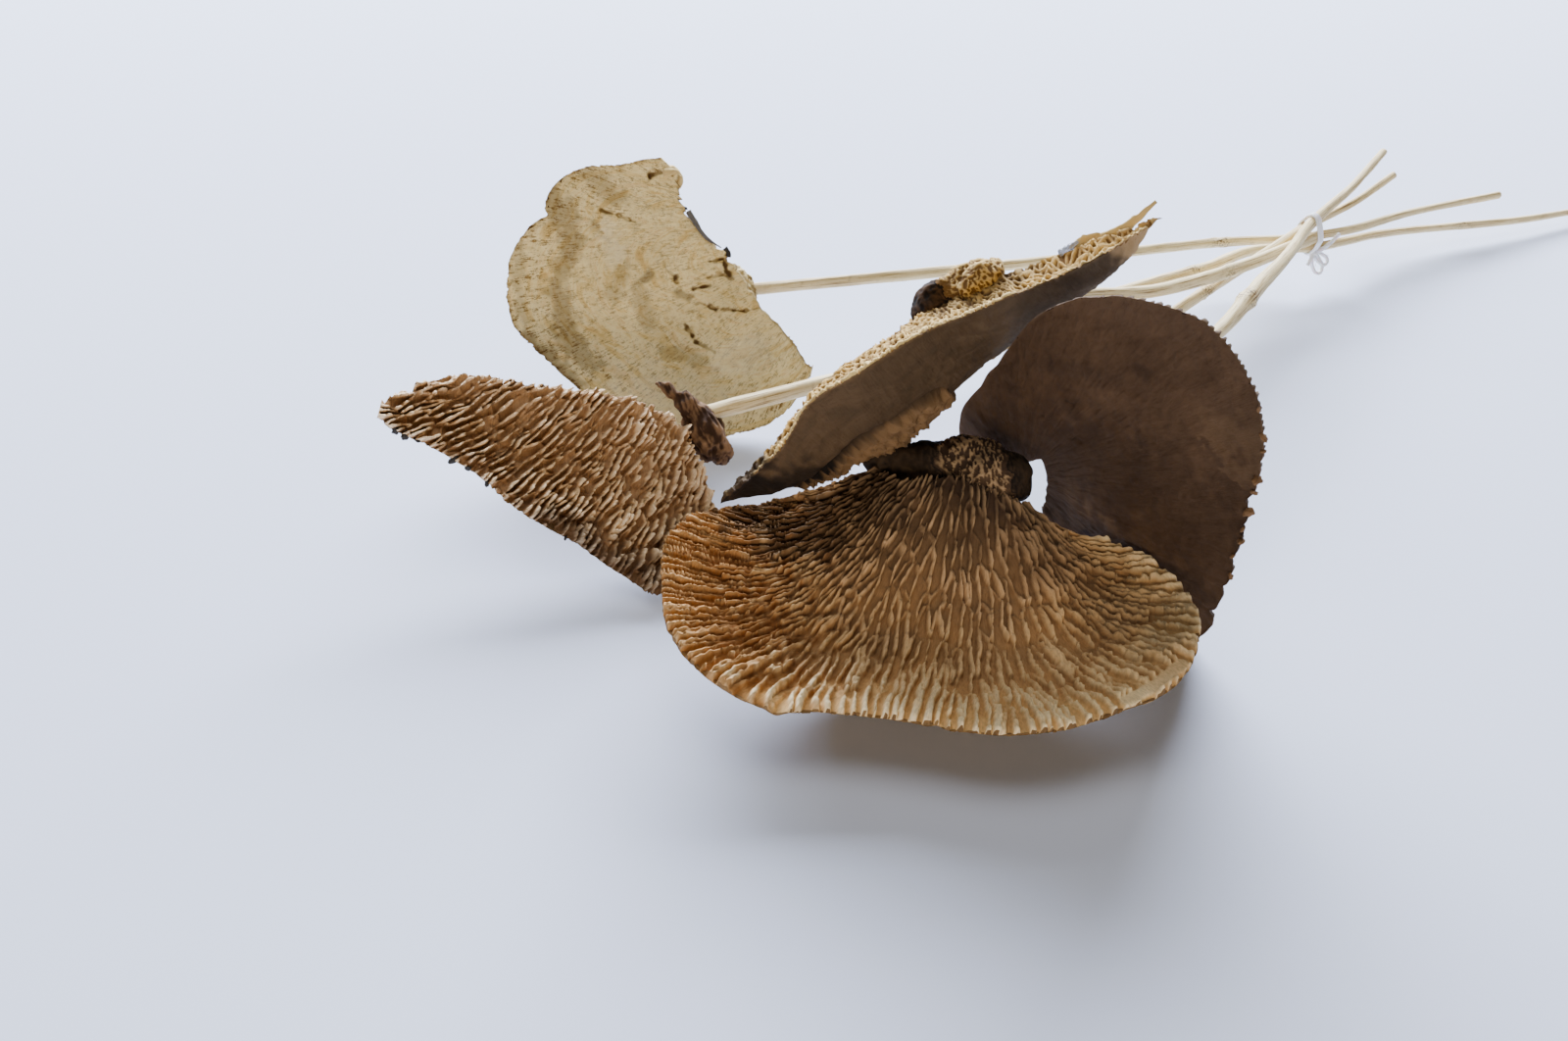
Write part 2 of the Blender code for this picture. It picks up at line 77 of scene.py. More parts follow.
CAPS = {
    "cap_front": dict(
        EVEN_GROWTH, hub=(53, -27, 41.8), turn=(0, 0, -90), outline_on="pores", seed=11,
        root=[(1, -23, 0), (9, -12, 2), (7, 0, 3), (14, 12, 2), (14, 26, -8)],
        margin=[(6, -72, -14), (16, -84, -9), (28, -90, -7), (49, -91, -8), (70, -87, -11),
                (82, -76, -16), (90, -60, -21), (91, -42, -22), (94, -21, -22), (99, -2, -22),
                (99, 29, -21), (92, 46, -20), (88, 58, -17), (73, 70, -13), (52, 71, -12),
                (31, 59, -12), (20, 47, -14)],
        sag=20, thick=(24, 4), heavy_at=0.5, edge=0.45, centre=None,
        pores=[(0, 2.7, 5.0, 0.30), (40, 3.1, 8, 0.34), (60, 3.4, 14, 0.40), (78, 3.7, 28, 0.44),
               (95, 3.8, 40, 0.47)],
        square=[(0.0, 1.0), (0.5, 0.9), (0.7, 0.35), (1.0, 0.0)], fine_wings=((0.30, 0.8), (0.74, 0.3)),
        depth=3.4, lean=0.7, straight=0.8, teeth=1.1, low_ends=0.85, shingle=0.6,
        columns=640, rows=(190, 40), worn=((1.3, 12.0), (0.7, 2.8)), torn=((0.2, 5.0), (0.2, 1.5)),
        nicks=[((99, -9.6), 4.0, 1.8)], rim_tone=0.75,
        creases=[([(40, -44), (62, -49), (92, -56)], 1.6, 2.6)],
        bald=[([(88, 47), (84, 55), (78, 63)], 3.5)],
        # All three patches here are painted shade: on the back right under the right cap, round the root
        # under the foot, and on the back left as the middle cap's shadow.
        stains_and_shade=[([(14, 8), (34, 40), (58, 62)], 20, 0.35), ([(8, -24), (12, 0), (16, 16)], 14, 0.3),
                ([(10, -66), (18, -44), (13, -28)], 17, 0.75)],
        blush=[([(20, -82), (44, -84), (66, -78)], 46, 1.0), ([(20, 22), (40, 50), (74, 60)], 22, 0.2)],
    ),
    "cap_left": dict(
        EVEN_GROWTH, hub=(-32, 12, 34.6), turn=(-32, 3, -153), outline_on="pores", seed=23,
        root=[(95, -38, 6), (83, -42, 4), (64, -41, 0), (44, -32, -2), (22, -20, 0), (10, -9, 2),
              (3, 2, 2), (4, 15, 1), (4, 27, 0)],
        margin=[(99, -32, 6), (96, -27, 5), (87, -19, 2), (78, -9, 0), (68, 10, -1), (54, 28, -2),
                (44, 43, -2), (35, 55, -2), (21, 52, -3), (9, 40, -2)],
        sag=4, thick=(9, 4), heavy_at=0.7, edge=0.9, centre=(-52, -53),
        pores=[(60, 2.2, 6.0, 0.24), (110, 2.5, 12.0, 0.26), (150, 2.3, 8.0, 0.24)],
        depth=5.4, lean=1.7, teeth=2.4, low_ends=0.75, shingle=0.5,
        columns=440, rows=(200, 30), worn=((1.0, 5.0), (1.1, 1.8)), torn=((1.4, 4.0), (1.3, 1.6)),
        rim_tone=0.8, stains_and_shade=[([(60, 22), (35, 50), (15, 45)], 16, 0.7)],
    ),
    "cap_back": dict(
        EVEN_GROWTH, hub=(-9, 81, 45), turn=(127, -2, -178), outline_on="smooth", seed=37,
        root=[(28, 39, 0), (26, 30, 0), (19, 19, 0), (9, 11, 0), (1, 0, 0), (-3, -6, 0),
              (-11, -15, 0), (-20, -28, 0)],
        margin=[(36, 46.5, 0), (43, 45.5, -1), (53, 43.5, -1), (61, 43.2, -2), (69, 40.5, -2),
                (74, 36.5, -3), (78, 30, -3), (79, 24.5, -3), (84.5, 19.8, -3), (88.5, 14, -3),
                (91.5, 6, -3), (92.3, -3, -3), (90.5, -13, -3), (85, -21.5, -2), (77, -29, -2),
                (68, -36.5, -1), (55, -48, 0), (30, -56, 0), (10, -55, 0), (-8, -48, 0), (-19, -33, 0)],
        sag=-3, thick=(9, 4), heavy_at=0.5, edge=0.6, centre=(-12, 0),
        pores=[(20, 2.6, 6.0, 0.4), (100, 2.8, 11, 0.45)], depth=2.4,
        columns=420, rows=(120, 150), worn=((1.0, 5.0), (0.8, 1.5)), torn=((2.6, 8.0), (1.5, 2.6)),
        nicks=[((79.2, 24.6), 1.6, 1.3)], rim_tone=0.8,
        creases=[([(74, 24), (64, 23), (54, 20)], 0.35, 0.9)],
        cracks=[([(22, -6), (16, -8), (10, -8.5), (5, -9), (-3, -7)], 1.3, 0.9),
                ([(27, -14), (24, -19), (21, -21.5), (16, -24)], 1.2, 0.9),
                ([(36, 12), (34, 6), (31, 3), (30, 1)], 0.8, 0.75), ([(24, -1), (19, 0)], 0.8, 0.8),
                ([(18, 9), (13, 10), (12, 6), (9.6, 3)], 1.4, 1.0), ([(19, 3), (14, 4), (10, 3)], 0.8, 0.75),
                ([(40, 40), (36, 41), (31, 41)], 1.8, 1.4), ([(58, 27), (50, 25), (44, 22)], 0.8, 0.8)],
        stains_and_shade=[([(42, 2), (40, 4)], 2.2, 0.6), ([(30.3, 3.4), (30.6, 2.6)], 1.6, 0.9),
                ([(29, -3), (26, -4)], 2.4, 0.55), ([(24, -1), (18, 0)], 1.2, 0.7),
                ([(52, -2), (50, 8)], 5, 0.3), ([(60, 22), (56, 18)], 3, 0.35),
                ([(74, 30), (68, 16), (74, 0), (70, -18), (60, -30)], 6, 0.5),
                ([(62, 40), (52, 32)], 5, 0.35), ([(84, -20), (76, -28), (66, -36)], 5, 0.6),
                ([(44, -2), (40, -12)], 5, 0.35), ([(86, 14), (88, 0), (84, -14)], 3, 0.3),
                ([(34, -24), (20, -28)], 4, 0.3), ([(20, -45), (44, -40)], 14, -0.3),
                ([(56, 20), (52, 10)], 6, -0.4), ([(12, -28), (2, -22)], 9, -0.3)],
    ),
    "cap_middle": dict(
        EVEN_GROWTH, hub=(57, 22, 71), turn=(34, -34, -89), outline_on="pores", seed=41,
        root=[(30, -90, -5), (26, -74, -2), (14, -54, 4), (4, -33, 4), (0, -13, 4), (-1, 3, 3),
              (4, 19, 0), (11, 33, -4), (24, 50, -7), (38, 61, -10)],
        margin=[(34, -99, -7), (47, -87, -6), (57, -75, -4), (72, -56, 3), (76, -44, 2), (73, -23, 1),
                (58, -2, -3), (43, 22, -8), (42, 38, -11), (42, 50, -12), (40, 65, -12)],
        sag=10, thick=(30, 4), heavy_at=0.35, edge=0.3, blunt=(0.9, 0.14), centre=(-24, 0),
        pores=[(20, 1.9, 2.4, 0.34), (110, 2.0, 3.0, 0.36)],
        depth=2.0, lean=0.3, straight=2.4, teeth=1.5, low_ends=0.25,
        columns=560, rows=(170, 90), worn=((2.2, 9.0), (0.5, 2.0)), torn=((1.0, 4.0), (0.7, 1.6)),
        rim_tone=0.55,
        strip=[(0.05, 0.15), (0.12, 0.42), (0.20, 0.56), (0.35, 0.66), (0.45, 0.66), (0.475, 0.60),
               (0.48, 0.2)],
        # The two dark patches at the tip are painted shade on the underside's shaded lower left, and the pale
        # patch at the far end is painted light on its lit right end.
        stains_and_shade=[([(32, -96), (40, -88)], 20, 0.95), ([(40, -84), (44, -72)], 10, 0.8),
                ([(6, 2), (8, 22)], 12, 0.5), ([(38, 64), (42, 52)], 10, -0.9)],
    ),
    "cap_right": dict(
        EVEN_GROWTH, hub=(83, -16, 32.1), turn=(-86, -16, -40), outline_on="smooth", seed=53,
        root=[(-10, -1, 0), (-1, -4.5, 0), (2.4, -5.5, 0), (3.2, -2, 0), (2, 5, 0), (-1, 13, 0)],
        margin=[(-29, -6.5, 0), (-28.5, -11, 0), (-25, -20, -1), (-10, -37, -3), (4, -50, -5),
                (20, -65, -7), (41, -74, -8), (66, -75, -9), (85, -68, -10), (94, -55, -12),
                (97, -39, -14), (91, -17, -15), (86, -3, -16), (79, 14, -16), (72, 28, -15),
                (63, 42, -12), (54, 47, -10), (36, 42, -6), (16, 34, -2), (1, 22, 0)],
        sag=3, thick=(8, 4), heavy_at=0.5, edge=0.6, centre=(-8, 0),
        pores=[(10, 2.6, 5.0, 0.4), (100, 2.6, 13, 0.45)], depth=2.4,
        columns=560, rows=(140, 120), worn=((1.5, 7.0), (0.2, 1.6)), torn=((0.5, 4.0), (0.4, 1.5)),
        nicks=[((94, -30), 1.4, 1.4), ((92.5, -24), 1.0, 1.0), ((90, -16), 2.6, 2.2), ((87, -7), 1.5, 1.2),
               ((82, 6), 2.4, 2.0), ((77, 18), 1.4, 1.6), ((71, 30), 1.8, 1.5)],
        rim_tone=0.5,
        cracks=[([(20, -19), (24, -20)], 0.5, 0.8), ([(23, -35), (26, -34)], 0.5, 0.7),
                ([(9, -26), (12, -27)], 0.4, 0.7), ([(22, 20), (30, 22), (40, 29)], 0.9, 0.9),
                ([(23, 24), (33, 28), (42, 34)], 0.9, 0.9)],
        stains_and_shade=[([(23, 21), (34, 25), (44, 33)], 8, 0.9), ([(8, -18), (60, -10), (80, 10)], 30, 0.35),
                ([(24, -34), (26, -30)], 5, 0.4), ([(20, -48), (44, -46)], 6, 0.25),
                ([(55, -52), (57, -50)], 3, 0.4), ([(96, -36), (78, -34)], 9, -0.16),
                ([(94, -24), (80, -22)], 7, -0.14), ([(20, 4), (34, 6)], 6, -0.12),
                # This last patch is painted shade: it darkens the curve near the root, where the back light
                # would otherwise catch it.
                ([(6, -22), (13, -8), (6, 8)], 12, 0.35)],
    ),
}

RIM_STEPS = 6               # rows round the margin, from the pore side to the skin
WALL_STEPS = 6              # rows up the root's torn wall
RIM_ROUND = 0.9             # how far the margin bulges
WALL_ROUND = 1.6            # how far the root's wall is hollowed
END_STEPS = 24              # points along the line where pore side and skin meet at a fan's two ends
TILE = 24                   # mesh cells whose pores are worked out together
RING_BAND = 1.5             # half the width of the band in which a ring's lines of growth are counted
RING_STEP = 0.95            # from one ring of pores to the next, as a share of their length
LEAST_SPAN = 8.0            # of a line of growth, so that none closes up at the centre
WALL_SLOPE = 0.22           # how wide a wall's flank is, as a share of the pore
PORE_FLOOR = 0.22           # how much the pores' floors differ in height
MOST_TRIANGLES = 190_000    # of one cap
SKIN_BELOW = 0.2            # faces lower than this on the way round the margin are skin
CHANCES = 64                # values each way in a table of chance, before it repeats
WELD = 1e-6                 # in metres, how near points have to lie to be joined

# Relief of the skins in millimetres: bands, fibres, swells and grains, and in the rough strip its
# folds, its crumbs, how deep it is sunk and how deep its edge is cut
ZONE_RISE, FIBRE_RISE, SWELL_RISE, GRAIN_RISE = 0.16, 0.14, 0.45, 0.17
STRIP_FOLD, STRIP_CRUMB, STRIP_SUNK, STRIP_CUT = 2.4, 1.3, 2.6, 2.4

# The foot at the root of each cap, in the cap's frame.
#   lumps    as (centre, half sizes)
#   lowest   that the foot may reach
#   soften   how often the joined lumps are smoothed
#   furrows  their spacing along x, y and z; rough, how strong the relief is
#   pored    the places across between which the foot has grown pores of its own
#   pore     their width; stretch, how long they are along x, y and z; wall, how far their walls fall off
#   out      how far out on the cap the flesh of those pores would lie, from 0 to 1
BARE_FOOT = dict(lowest=1.2, soften=5, furrows=(6, 2.2, 2.2), rough=1.0, pored=(99.0, 120.0), pore=1.9,
                 stretch=(2.2, 1.0, 1.6), wall=(0.02, 0.22), out=0.0)
FEET = {
    "cap_front": dict(
        BARE_FOOT,
        lumps=[((-3, -16, 1), (8, 12, 7)), ((-2, -6, 2), (8.5, 12, 7)), ((-3, 6, 1.5), (9.5, 14, 8.5)),
               ((4, 14, 0), (12, 14, 9)), ((-6, 6, -6), (11, 15, 8)), ((3, -13, -3), (8, 12, 6)),
               ((4, -4, -3), (8, 9, 4))],
        lowest=-14, soften=45, rough=0.4, pored=(-6.0, 20.0), pore=1.1, stretch=(3.4, 1.0, 2.8),
        wall=(0.04, 0.30), out=0.04),
    "cap_left": dict(
        BARE_FOOT,
        lumps=[((-3, 6, -1), (7.5, 11, 8)), ((0, -4, 3), (4.5, 6, 4.5)), ((3.6, -10.5, 4), (2.6, 3.4, 1.9)),
               ((6.2, -13.6, 4.4), (1.7, 1.9, 0.9)), ((-6, 13.5, -3), (5, 5.5, 6))],
        lowest=-14, furrows=(1.5, 10, 1.5)),
    "cap_back": dict(BARE_FOOT, lumps=[((10, 0, 8), (10, 9, 7))]),
    "cap_middle": dict(
        BARE_FOOT,
        lumps=[((-5, -2, 5), (9, 12, 9)), ((-4, 9, 4), (9, 11, 9)), ((0, 6, -9), (9, 9, 12)),
               ((-3, 2, -15), (9, 10, 6)), ((2, 12, 4), (8, 10, 6))],
        lowest=-24, soften=9, furrows=(5, 2.5, 2.5), rough=0.6, pored=(-1.0, 40.0), pore=1.1,
        wall=(0.08, 0.34), out=0.2),
    "cap_right": dict(BARE_FOOT, lumps=[((11, 1, 7.5), (8.5, 8.5, 7))]),
}
FOOT_GRAIN = 0.65           # size of a foot's mesh cells
FOOT_PORE_DEPTH = 0.9

# The middle of the tie, and which way the bunch runs there, seen from above
TIE_CENTRE = (213.0, 160.0, 21.5)
TIE_HEADING = math.radians(37.0)

# Each twig as (x, y, z, radius): its base in the cap's foot, its body up to the tie, its slot in the tie
# as (to the front, up, radius), and its tail up to the cut end; its knots as (share of length, swelling)
TWIGS = {
    "twig_front": dict(
        base=(58, -19, 36, 2.7),
        body=[(68, -4, 30, 2.7), (82, 17, 27, 2.6), (155, 105, 24, 2.3), (176, 129, 22, 2.1),
              (192, 144, 22.8, 2.0)],
        slot=(-2.6, 3.0, 1.9), tail=[(235, 183, 23.5, 1.7), (260, 210, 23, 1.6)], knots=[(0.55, 0.25)],
    ),
    "twig_left": dict(
        base=(-27, 14, 35, 3.0),
        body=[(50, 57, 30.5, 2.9), (144, 119, 24.5, 2.5), (166, 134, 21.5, 2.4), (192, 155, 18, 2.1)],
        slot=(0.8, -5.0, 1.9), tail=[(248, 180, 11, 1.8), (323, 204, 5.5, 1.5), (344, 212, 4.5, 1.4)],
        knots=[(0.52, 0.3), (0.86, 0.2)],
    ),
    "twig_back": dict(
        base=(-15, 87, 40, 2.4),
        body=[(79, 119, 31, 2.3), (150, 152, 20, 2.1), (181, 163, 17, 2.0)],
        slot=(-3.8, -2.5, 1.8), tail=[(231, 169, 19, 1.8), (257, 184, 17.8, 1.7), (306, 207, 15, 1.6)],
        knots=[(0.6, 0.3)],
    ),
    "twig_middle": dict(
        base=(56, 26, 66, 2.6),
        body=[(100, 66, 50, 2.6), (140, 96, 34.5, 2.6), (171, 120, 28.2, 2.6)],
        slot=(2.7, 0.5, 2.4), tail=[], knots=[(0.72, 0.2)],
    ),
    "twig_right": dict(
        base=(89, -8, 34, 2.9),
        body=[(160, 71, 34, 2.8), (181, 104, 33, 3.2), (194, 124, 31.8, 2.6)],
        slot=(0.6, 7.0, 2.1), tail=[(232, 181, 30.5, 1.8), (254, 211, 33.5, 1.7)], knots=[(0.47, 0.45)],
    ),
}
STUB = 0.06                 # how far a cut-off twig runs past the tie, as a share of its last stretch
TWIG_SIDES = 22
TWIG_RING = 1.1             # spacing of a twig's rings
CUT_EDGE = [(0.05, 0.42), (0.4, 0.78), (0.9, 0.95)]     # how an end rounds off, as (distance, radius)
KNOT_REACH = 5.0            # how far a knot swells the twig along its length

SPLINTER_RINGS, SPLINTER_SIDES = 30, 25

# Loose bits of the middle cap near its tip, as (points, half width, half thickness)
SPLINTERS = {
    "torn_sliver": ([(102, 15.5, 102), (107, 12, 107.5), (111, 9.5, 113), (115.5, 8, 119.5)], 0.6, 2.0),
    "curled_flap": ([(94.5, 20.5, 95), (97.5, 19.5, 99.5), (100.5, 18, 101.5), (104.5, 16.5, 101.5)],
                    0.8, 2.2),
}
# The same of the back cap, in its own frame: the corner that curls over, the bark behind its torn edge
BACK_SPLINTERS = {
    "curled_corner": ([(35.5, 41.5, 0.2), (31.5, 41.8, 1.2), (29.2, 39.4, 1.6), (29.6, 36.4, 1.2),
                       (32.0, 34.0, 0.0)], 2.6, 1.6),
    "bark_strip": ([(26.0, 27.0, -1.0), (23.4, 22.8, -1.1), (19.4, 17.4, -1.2), (14.0, 13.8, -1.2)],
                   0.9, 1.1),
}
# A drop of glue beside them
GLUE = ([(90, 21, 93.5), (92, 20, 96), (94.5, 19, 99)], 1.7, 1.5)

# Crumbs held in an edge of a cap, as (share along the edge, size): grey bark, and curled bits of
# gill on the right cap
CRUMBS = {
    "cap_left": ("margin", [(0.055, 1.7), (0.08, 2.0), (0.11, 1.3), (0.20, 1.9), (0.24, 1.3),
                            (0.30, 1.5), (0.52, 0.9), (0.94, 1.3)]),
    "cap_back": ("root", [(0.14, 0.9), (0.39, 2.0)]),
    "cap_right": ("margin", [(0.505, 1.1), (0.53, 1.5), (0.545, 1.0), (0.575, 1.8), (0.59, 1.2),
                             (0.61, 1.7), (0.63, 1.1), (0.645, 1.5), (0.665, 1.1), (0.69, 1.4)]),
}

STRING_DIAMETER = 1.0
STRANDS = 3
TWIST = 3.6                 # length of one turn of the string's strands
STRING_SIDES = 12
STRING_RING = 0.35          # spacing of the string's rings
TIE_TURNS = 3
TIE_PITCH = 1.0             # from one turn of the tie to the next
TIE_SLACK = 0.15            # between the twigs and the string
KNOT_ANGLE = math.radians(-28.0)    # round the bunch, up from its front
BOW_THICKNESS = 1.5         # of the bow, where the string has come untwisted, as a share of the string
HAIR = 0.2                  # thickness of the string's loose fibres, as a share of the string

# From the knot, as distances along the bunch, to its front and up: the far end of each loop with half
# its width, the tips of the loose fibres, and the routes of the loose ends
BOW_LOOPS = [((3.0, 3.0, -9.0), 1.8), ((6.5, 3.0, -5.4), 1.6)]
FUZZ = [(-1.5, 2.0, -4.5), (0.0, 2.5, -5.0), (-3.0, 1.0, -2.5), (5.5, 1.0, -7.0), (8.0, 2.0, -3.0),
        (10, 2.0, 2.5), (9, 3.0, 4.5), (4.5, 3.0, 4.0)]
LOOSE_ENDS = [[(3, 1.2, 1.0), (7, 2.2, 3.0), (12, 2.5, 6.0)], [(-2, 1.2, -1.5), (-4, 1.5, -3.7)]]

# The camera's height, its distance to the front and how many degrees it looks down
CAMERA_HEIGHT, CAMERA_BACK, CAMERA_DOWN = 403.0, 515.8, 38.0
LENS, SENSOR = 43.45, 36.0
FLOOR_SIZE = 12.0           # in metres


# Shapes in numbers

def along(points, fractions):
    """Points at the given fractions of a smooth curve through some points."""
    points = np.array(points, float)
    fractions = np.atleast_1d(np.array(fractions, float))
    reach = np.cumsum(np.linalg.norm(np.diff(points, axis=0), axis=1))
    knots = np.concatenate([[0.0], reach]) / reach[-1]
    slopes = np.gradient(points, knots, axis=0)
    i = np.clip(np.searchsorted(knots, fractions, side="right") - 1, 0, len(points) - 2)
    step = (knots[i + 1] - knots[i])[..., None]
    u = (fractions - knots[i])[..., None] / step
    return (
        (2 * u**3 - 3 * u**2 + 1) * points[i] + (u**3 - 2 * u**2 + u) * step * slopes[i]
        + (3 * u**2 - 2 * u**3) * points[i + 1] + (u**3 - u**2) * step * slopes[i + 1]
    )


def ripple(x, y, seed):
    """Smooth chance values from -1 to 1 over a plane, about one feature per unit."""
    table = np.random.default_rng(seed).uniform(-1.0, 1.0, (CHANCES, CHANCES))
    x, y = np.broadcast_arrays(np.asarray(x, float), np.asarray(y, float))
    i, j = np.floor(x).astype(int), np.floor(y).astype(int)
    u, v = x - i, y - j
    u, v = u * u * (3 - 2 * u), v * v * (3 - 2 * v)
    i, j, next_i, next_j = (n % CHANCES for n in (i, j, i + 1, j + 1))
    a, b, c, d = table[i, j], table[next_i, j], table[i, next_j], table[next_i, next_j]
    return (a * (1 - u) + b * u) * (1 - v) + (c * (1 - u) + d * u) * v


def ease(low, high, value):
    """0 below low, 1 above high, and smooth between."""
    x = np.clip((value - low) / (high - low), 0.0, 1.0)
    return x * x * (3 - 2 * x)


def placed(cap, points):
    """Points of a cap's own frame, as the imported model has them, in millimetres."""
    turn = np.array(Euler([math.radians(a) for a in cap["turn"]]).to_matrix())
    return points @ turn.T + np.array(cap["hub"], float) - ORIGIN


def edge_wear(distance, wear, seed):
    """How far an edge is worn back along its length: waves with small teeth on them."""
    (wave_depth, wave), (tooth_depth, tooth) = wear
    waves = 0.5 + 0.5 * ripple(distance / wave, 0.5, seed)
    uneven = distance + 1.4 * tooth * ripple(distance / tooth / 1.7, 0.5, seed + 3)
    teeth = (np.abs(ripple(uneven / tooth, 0.5, seed + 1))
             + 0.5 * np.abs(ripple(uneven / tooth * 2.7, 0.5, seed + 2)))
    bitten = ease(-0.4, 0.7, ripple(distance / tooth / 4.3, 0.5, seed + 4))
    return wave_depth * waves + tooth_depth * teeth * (0.3 + 1.5 * bitten)


def near_line(x, y, line):
    """Distance of points from a line through some points."""
    nearest = np.full(np.shape(x), 1e9)
    for (ax, ay), (bx, by) in zip(line, line[1:]):
        u = ((x - ax) * (bx - ax) + (y - ay) * (by - ay)) / ((bx - ax) ** 2 + (by - ay) ** 2)
        u = np.clip(u, 0.0, 1.0)
        nearest = np.minimum(nearest, np.hypot(x - ax - u * (bx - ax), y - ay - u * (by - ay)))
    return nearest


def growth_lines(cap, t, s, root, margin, x, y):
    """How far out along the growth points are, a number for the line of growth each is on, the
    millimetres that one unit of that number spans, and the direction across the lines."""
    if cap["centre"]:
        dx, dy = x - cap["centre"][0], y - cap["centre"][1]
        out, angle = np.hypot(dx, dy), np.arctan2(dy, dx)
        return out, angle, out, -np.sin(angle), np.cos(angle)
    edge = np.gradient(margin[:, :2], t, axis=0)
    slant = ((margin - root)[:, :2] * edge).sum(axis=1) / (edge ** 2).sum(axis=1)
    slant = np.convolve(np.pad(slant, 30, mode="edge"), np.full(61, 1 / 61), mode="valid")
    slant = slant * np.interp(t, *np.array(cap["square"]).T)
    line = t - slant * (1.0 - s ** 2) / 2.0
    reach = np.linalg.norm(margin - root, axis=1)
    across_x, across_y = np.gradient(x, t, axis=1), np.gradient(y, t, axis=1)
    span = np.hypot(across_x, across_y)
    spread = span / np.maximum(np.gradient(line, t, axis=1), 0.3)
    (low, low_share), (high, high_share) = cap["fine_wings"]
    line = line - low_share * np.maximum(low - line, 0.0) + high_share * np.maximum(line - high, 0.0)
    return reach.max() - (1.0 - s) * reach, line, spread, across_x / span, across_y / span


def pore_places(cap, out, line, spread):
    """The pores of a cap, each as (how far out, its line of growth, how high its floor is).

    They are long cells that lie in rings, one beyond the other. Each ring has as many as fit, put there
    by chance, so that the walls between them fork and join on their way out."""
    rng = np.random.default_rng(cap["seed"] + 100)
    at, widths, lengths, _ = np.array(cap["pores"], float).T
    cells = []
    ring, steps = out.min() - 20.0, np.linspace(line.min(), line.max(), 160)
    while ring < out.max() + 20.0:
        wide, long = np.interp(ring, at, widths), np.interp(ring, at, lengths)
        here = np.abs(out - np.clip(ring, out.min() + RING_BAND, out.max() - RING_BAND)) < RING_BAND
        order = np.argsort(line[here])
        spans = np.maximum(np.interp(steps, line[here][order], spread[here][order]), LEAST_SPAN)
        filled = np.concatenate([[0.0], np.cumsum((spans[1:] + spans[:-1]) / 2 * np.diff(steps) / wide)])
        count = int(filled[-1]) + 5
        numbers = np.arange(count) - 2.0 + rng.uniform(0.1, 0.9, count)
        beyond = (np.minimum(numbers, 0.0) * wide / spans[0]
                  + np.maximum(numbers - filled[-1], 0.0) * wide / spans[-1])
        places = np.interp(numbers, filled, steps) + beyond
        cells.append(np.stack([ring + rng.uniform(-0.6, 0.6, count) * long, places,
                               rng.uniform(0.0, 1.0, count)], axis=1))
        ring += long * RING_STEP
    return np.concatenate(cells)


def pore_walls(cap, x, y, out, line, spread):
    """How high the flesh stands at points of a cap, from 0 in a pore to 1 on a wall."""
    seed = cap["seed"]
    at, widths, lengths, walls = np.array(cap["pores"], float).T
    wander = cap["straight"] * (0.9 * ripple(x / 7.0, y / 7.0, seed + 1)
                                + 0.25 * ripple(x / 2.2, y / 2.2, seed + 2))
    out = out + 1.2 * ripple(x / 6.0, y / 6.0 + 9.0, seed + 3)
    line = line + wander / np.maximum(spread, LEAST_SPAN)
    cells = pore_places(cap, out, line, spread)
    height = np.empty(x.shape)
    for i in range(0, x.shape[0], TILE):
        for j in range(0, x.shape[1], TILE):
            tile = np.s_[i:i + TILE, j:j + TILE]
            r, a = out[tile][..., None], line[tile][..., None]
            middle, aim, span = r.mean(), a.mean(), spread[tile].mean()
            wide, long = np.interp(middle, at, widths), np.interp(middle, at, lengths)
            wall = np.interp(middle, at, walls)
            near = cells[(np.abs(cells[:, 0] - middle) < np.ptp(r) / 2 + 2.2 * long)
                         & (np.abs(cells[:, 1] - aim) * span < np.ptp(a) * span / 2 + 5.0 * wide)]
            apart = ((a - near[:, 1]) * span / wide) ** 2 + ((r - near[:, 0]) / long) ** 2
            order = np.argpartition(apart, 1, axis=-1)[..., :2]
            own, other = np.take_along_axis(apart, order, axis=-1).transpose(2, 0, 1)
            mine, theirs = near[order[..., 0]], near[order[..., 1]]
            swap = own > other
            own, other = np.where(swap, other, own), np.where(swap, own, other)
            across = np.abs(mine[..., 1] - theirs[..., 1]) * span / wide ** 2
            lengthwise = np.abs(mine[..., 0] - theirs[..., 0]) / long ** 2
            steep = 2.0 * np.hypot(across, lengthwise)
            distance = (other - own) / np.maximum(steep, 1e-6)
            crossing = lengthwise * long / np.maximum(lengthwise * long + across * wide, 1e-6)
            rise = (r[..., 0] - (mine[..., 0] + theirs[..., 0]) / 2.0) / long
            floor = np.where(swap, theirs[..., 2], mine[..., 2])
            stand = 1.0 - ease(wall, wall + WALL_SLOPE * wide, distance)
            top = (1.0 - cap["low_ends"] * ease(0.3, 0.9, crossing)) * (1.0 + cap["shingle"] * rise)
            height[tile] = np.clip(top, 0.2, 1.15) * stand + PORE_FLOOR * floor * (1.0 - stand)
    teeth = ripple(x / 1.3, y / 1.3, seed + 4) + 0.8 * ripple(x / 3.1, y / 3.1, seed + 5)
    torn = ease(0.35, 0.75, ripple(x / 4.0, y / 4.0, seed + 6))
    return height * np.clip(0.84 + cap["teeth"] * (0.16 * teeth - 0.22 * torn), 0.2, 1.15)


def patches(x, y, lines, seed):
    """Soft patches along lines, each given as (line, width, strength); the strongest counts."""
    most = np.zeros_like(x)
    uneven = 0.3 * ripple(x / 4.0, y / 4.0, seed) + 0.25 * ripple(x / 1.7, y / 1.7, seed + 1)
    for line, width, strength in lines:
        patch = strength * (1.0 - ease(0.3, 1.0, near_line(x, y, line) / width + uneven))
        most = np.where(np.abs(patch) > np.abs(most), patch, most)
    return most


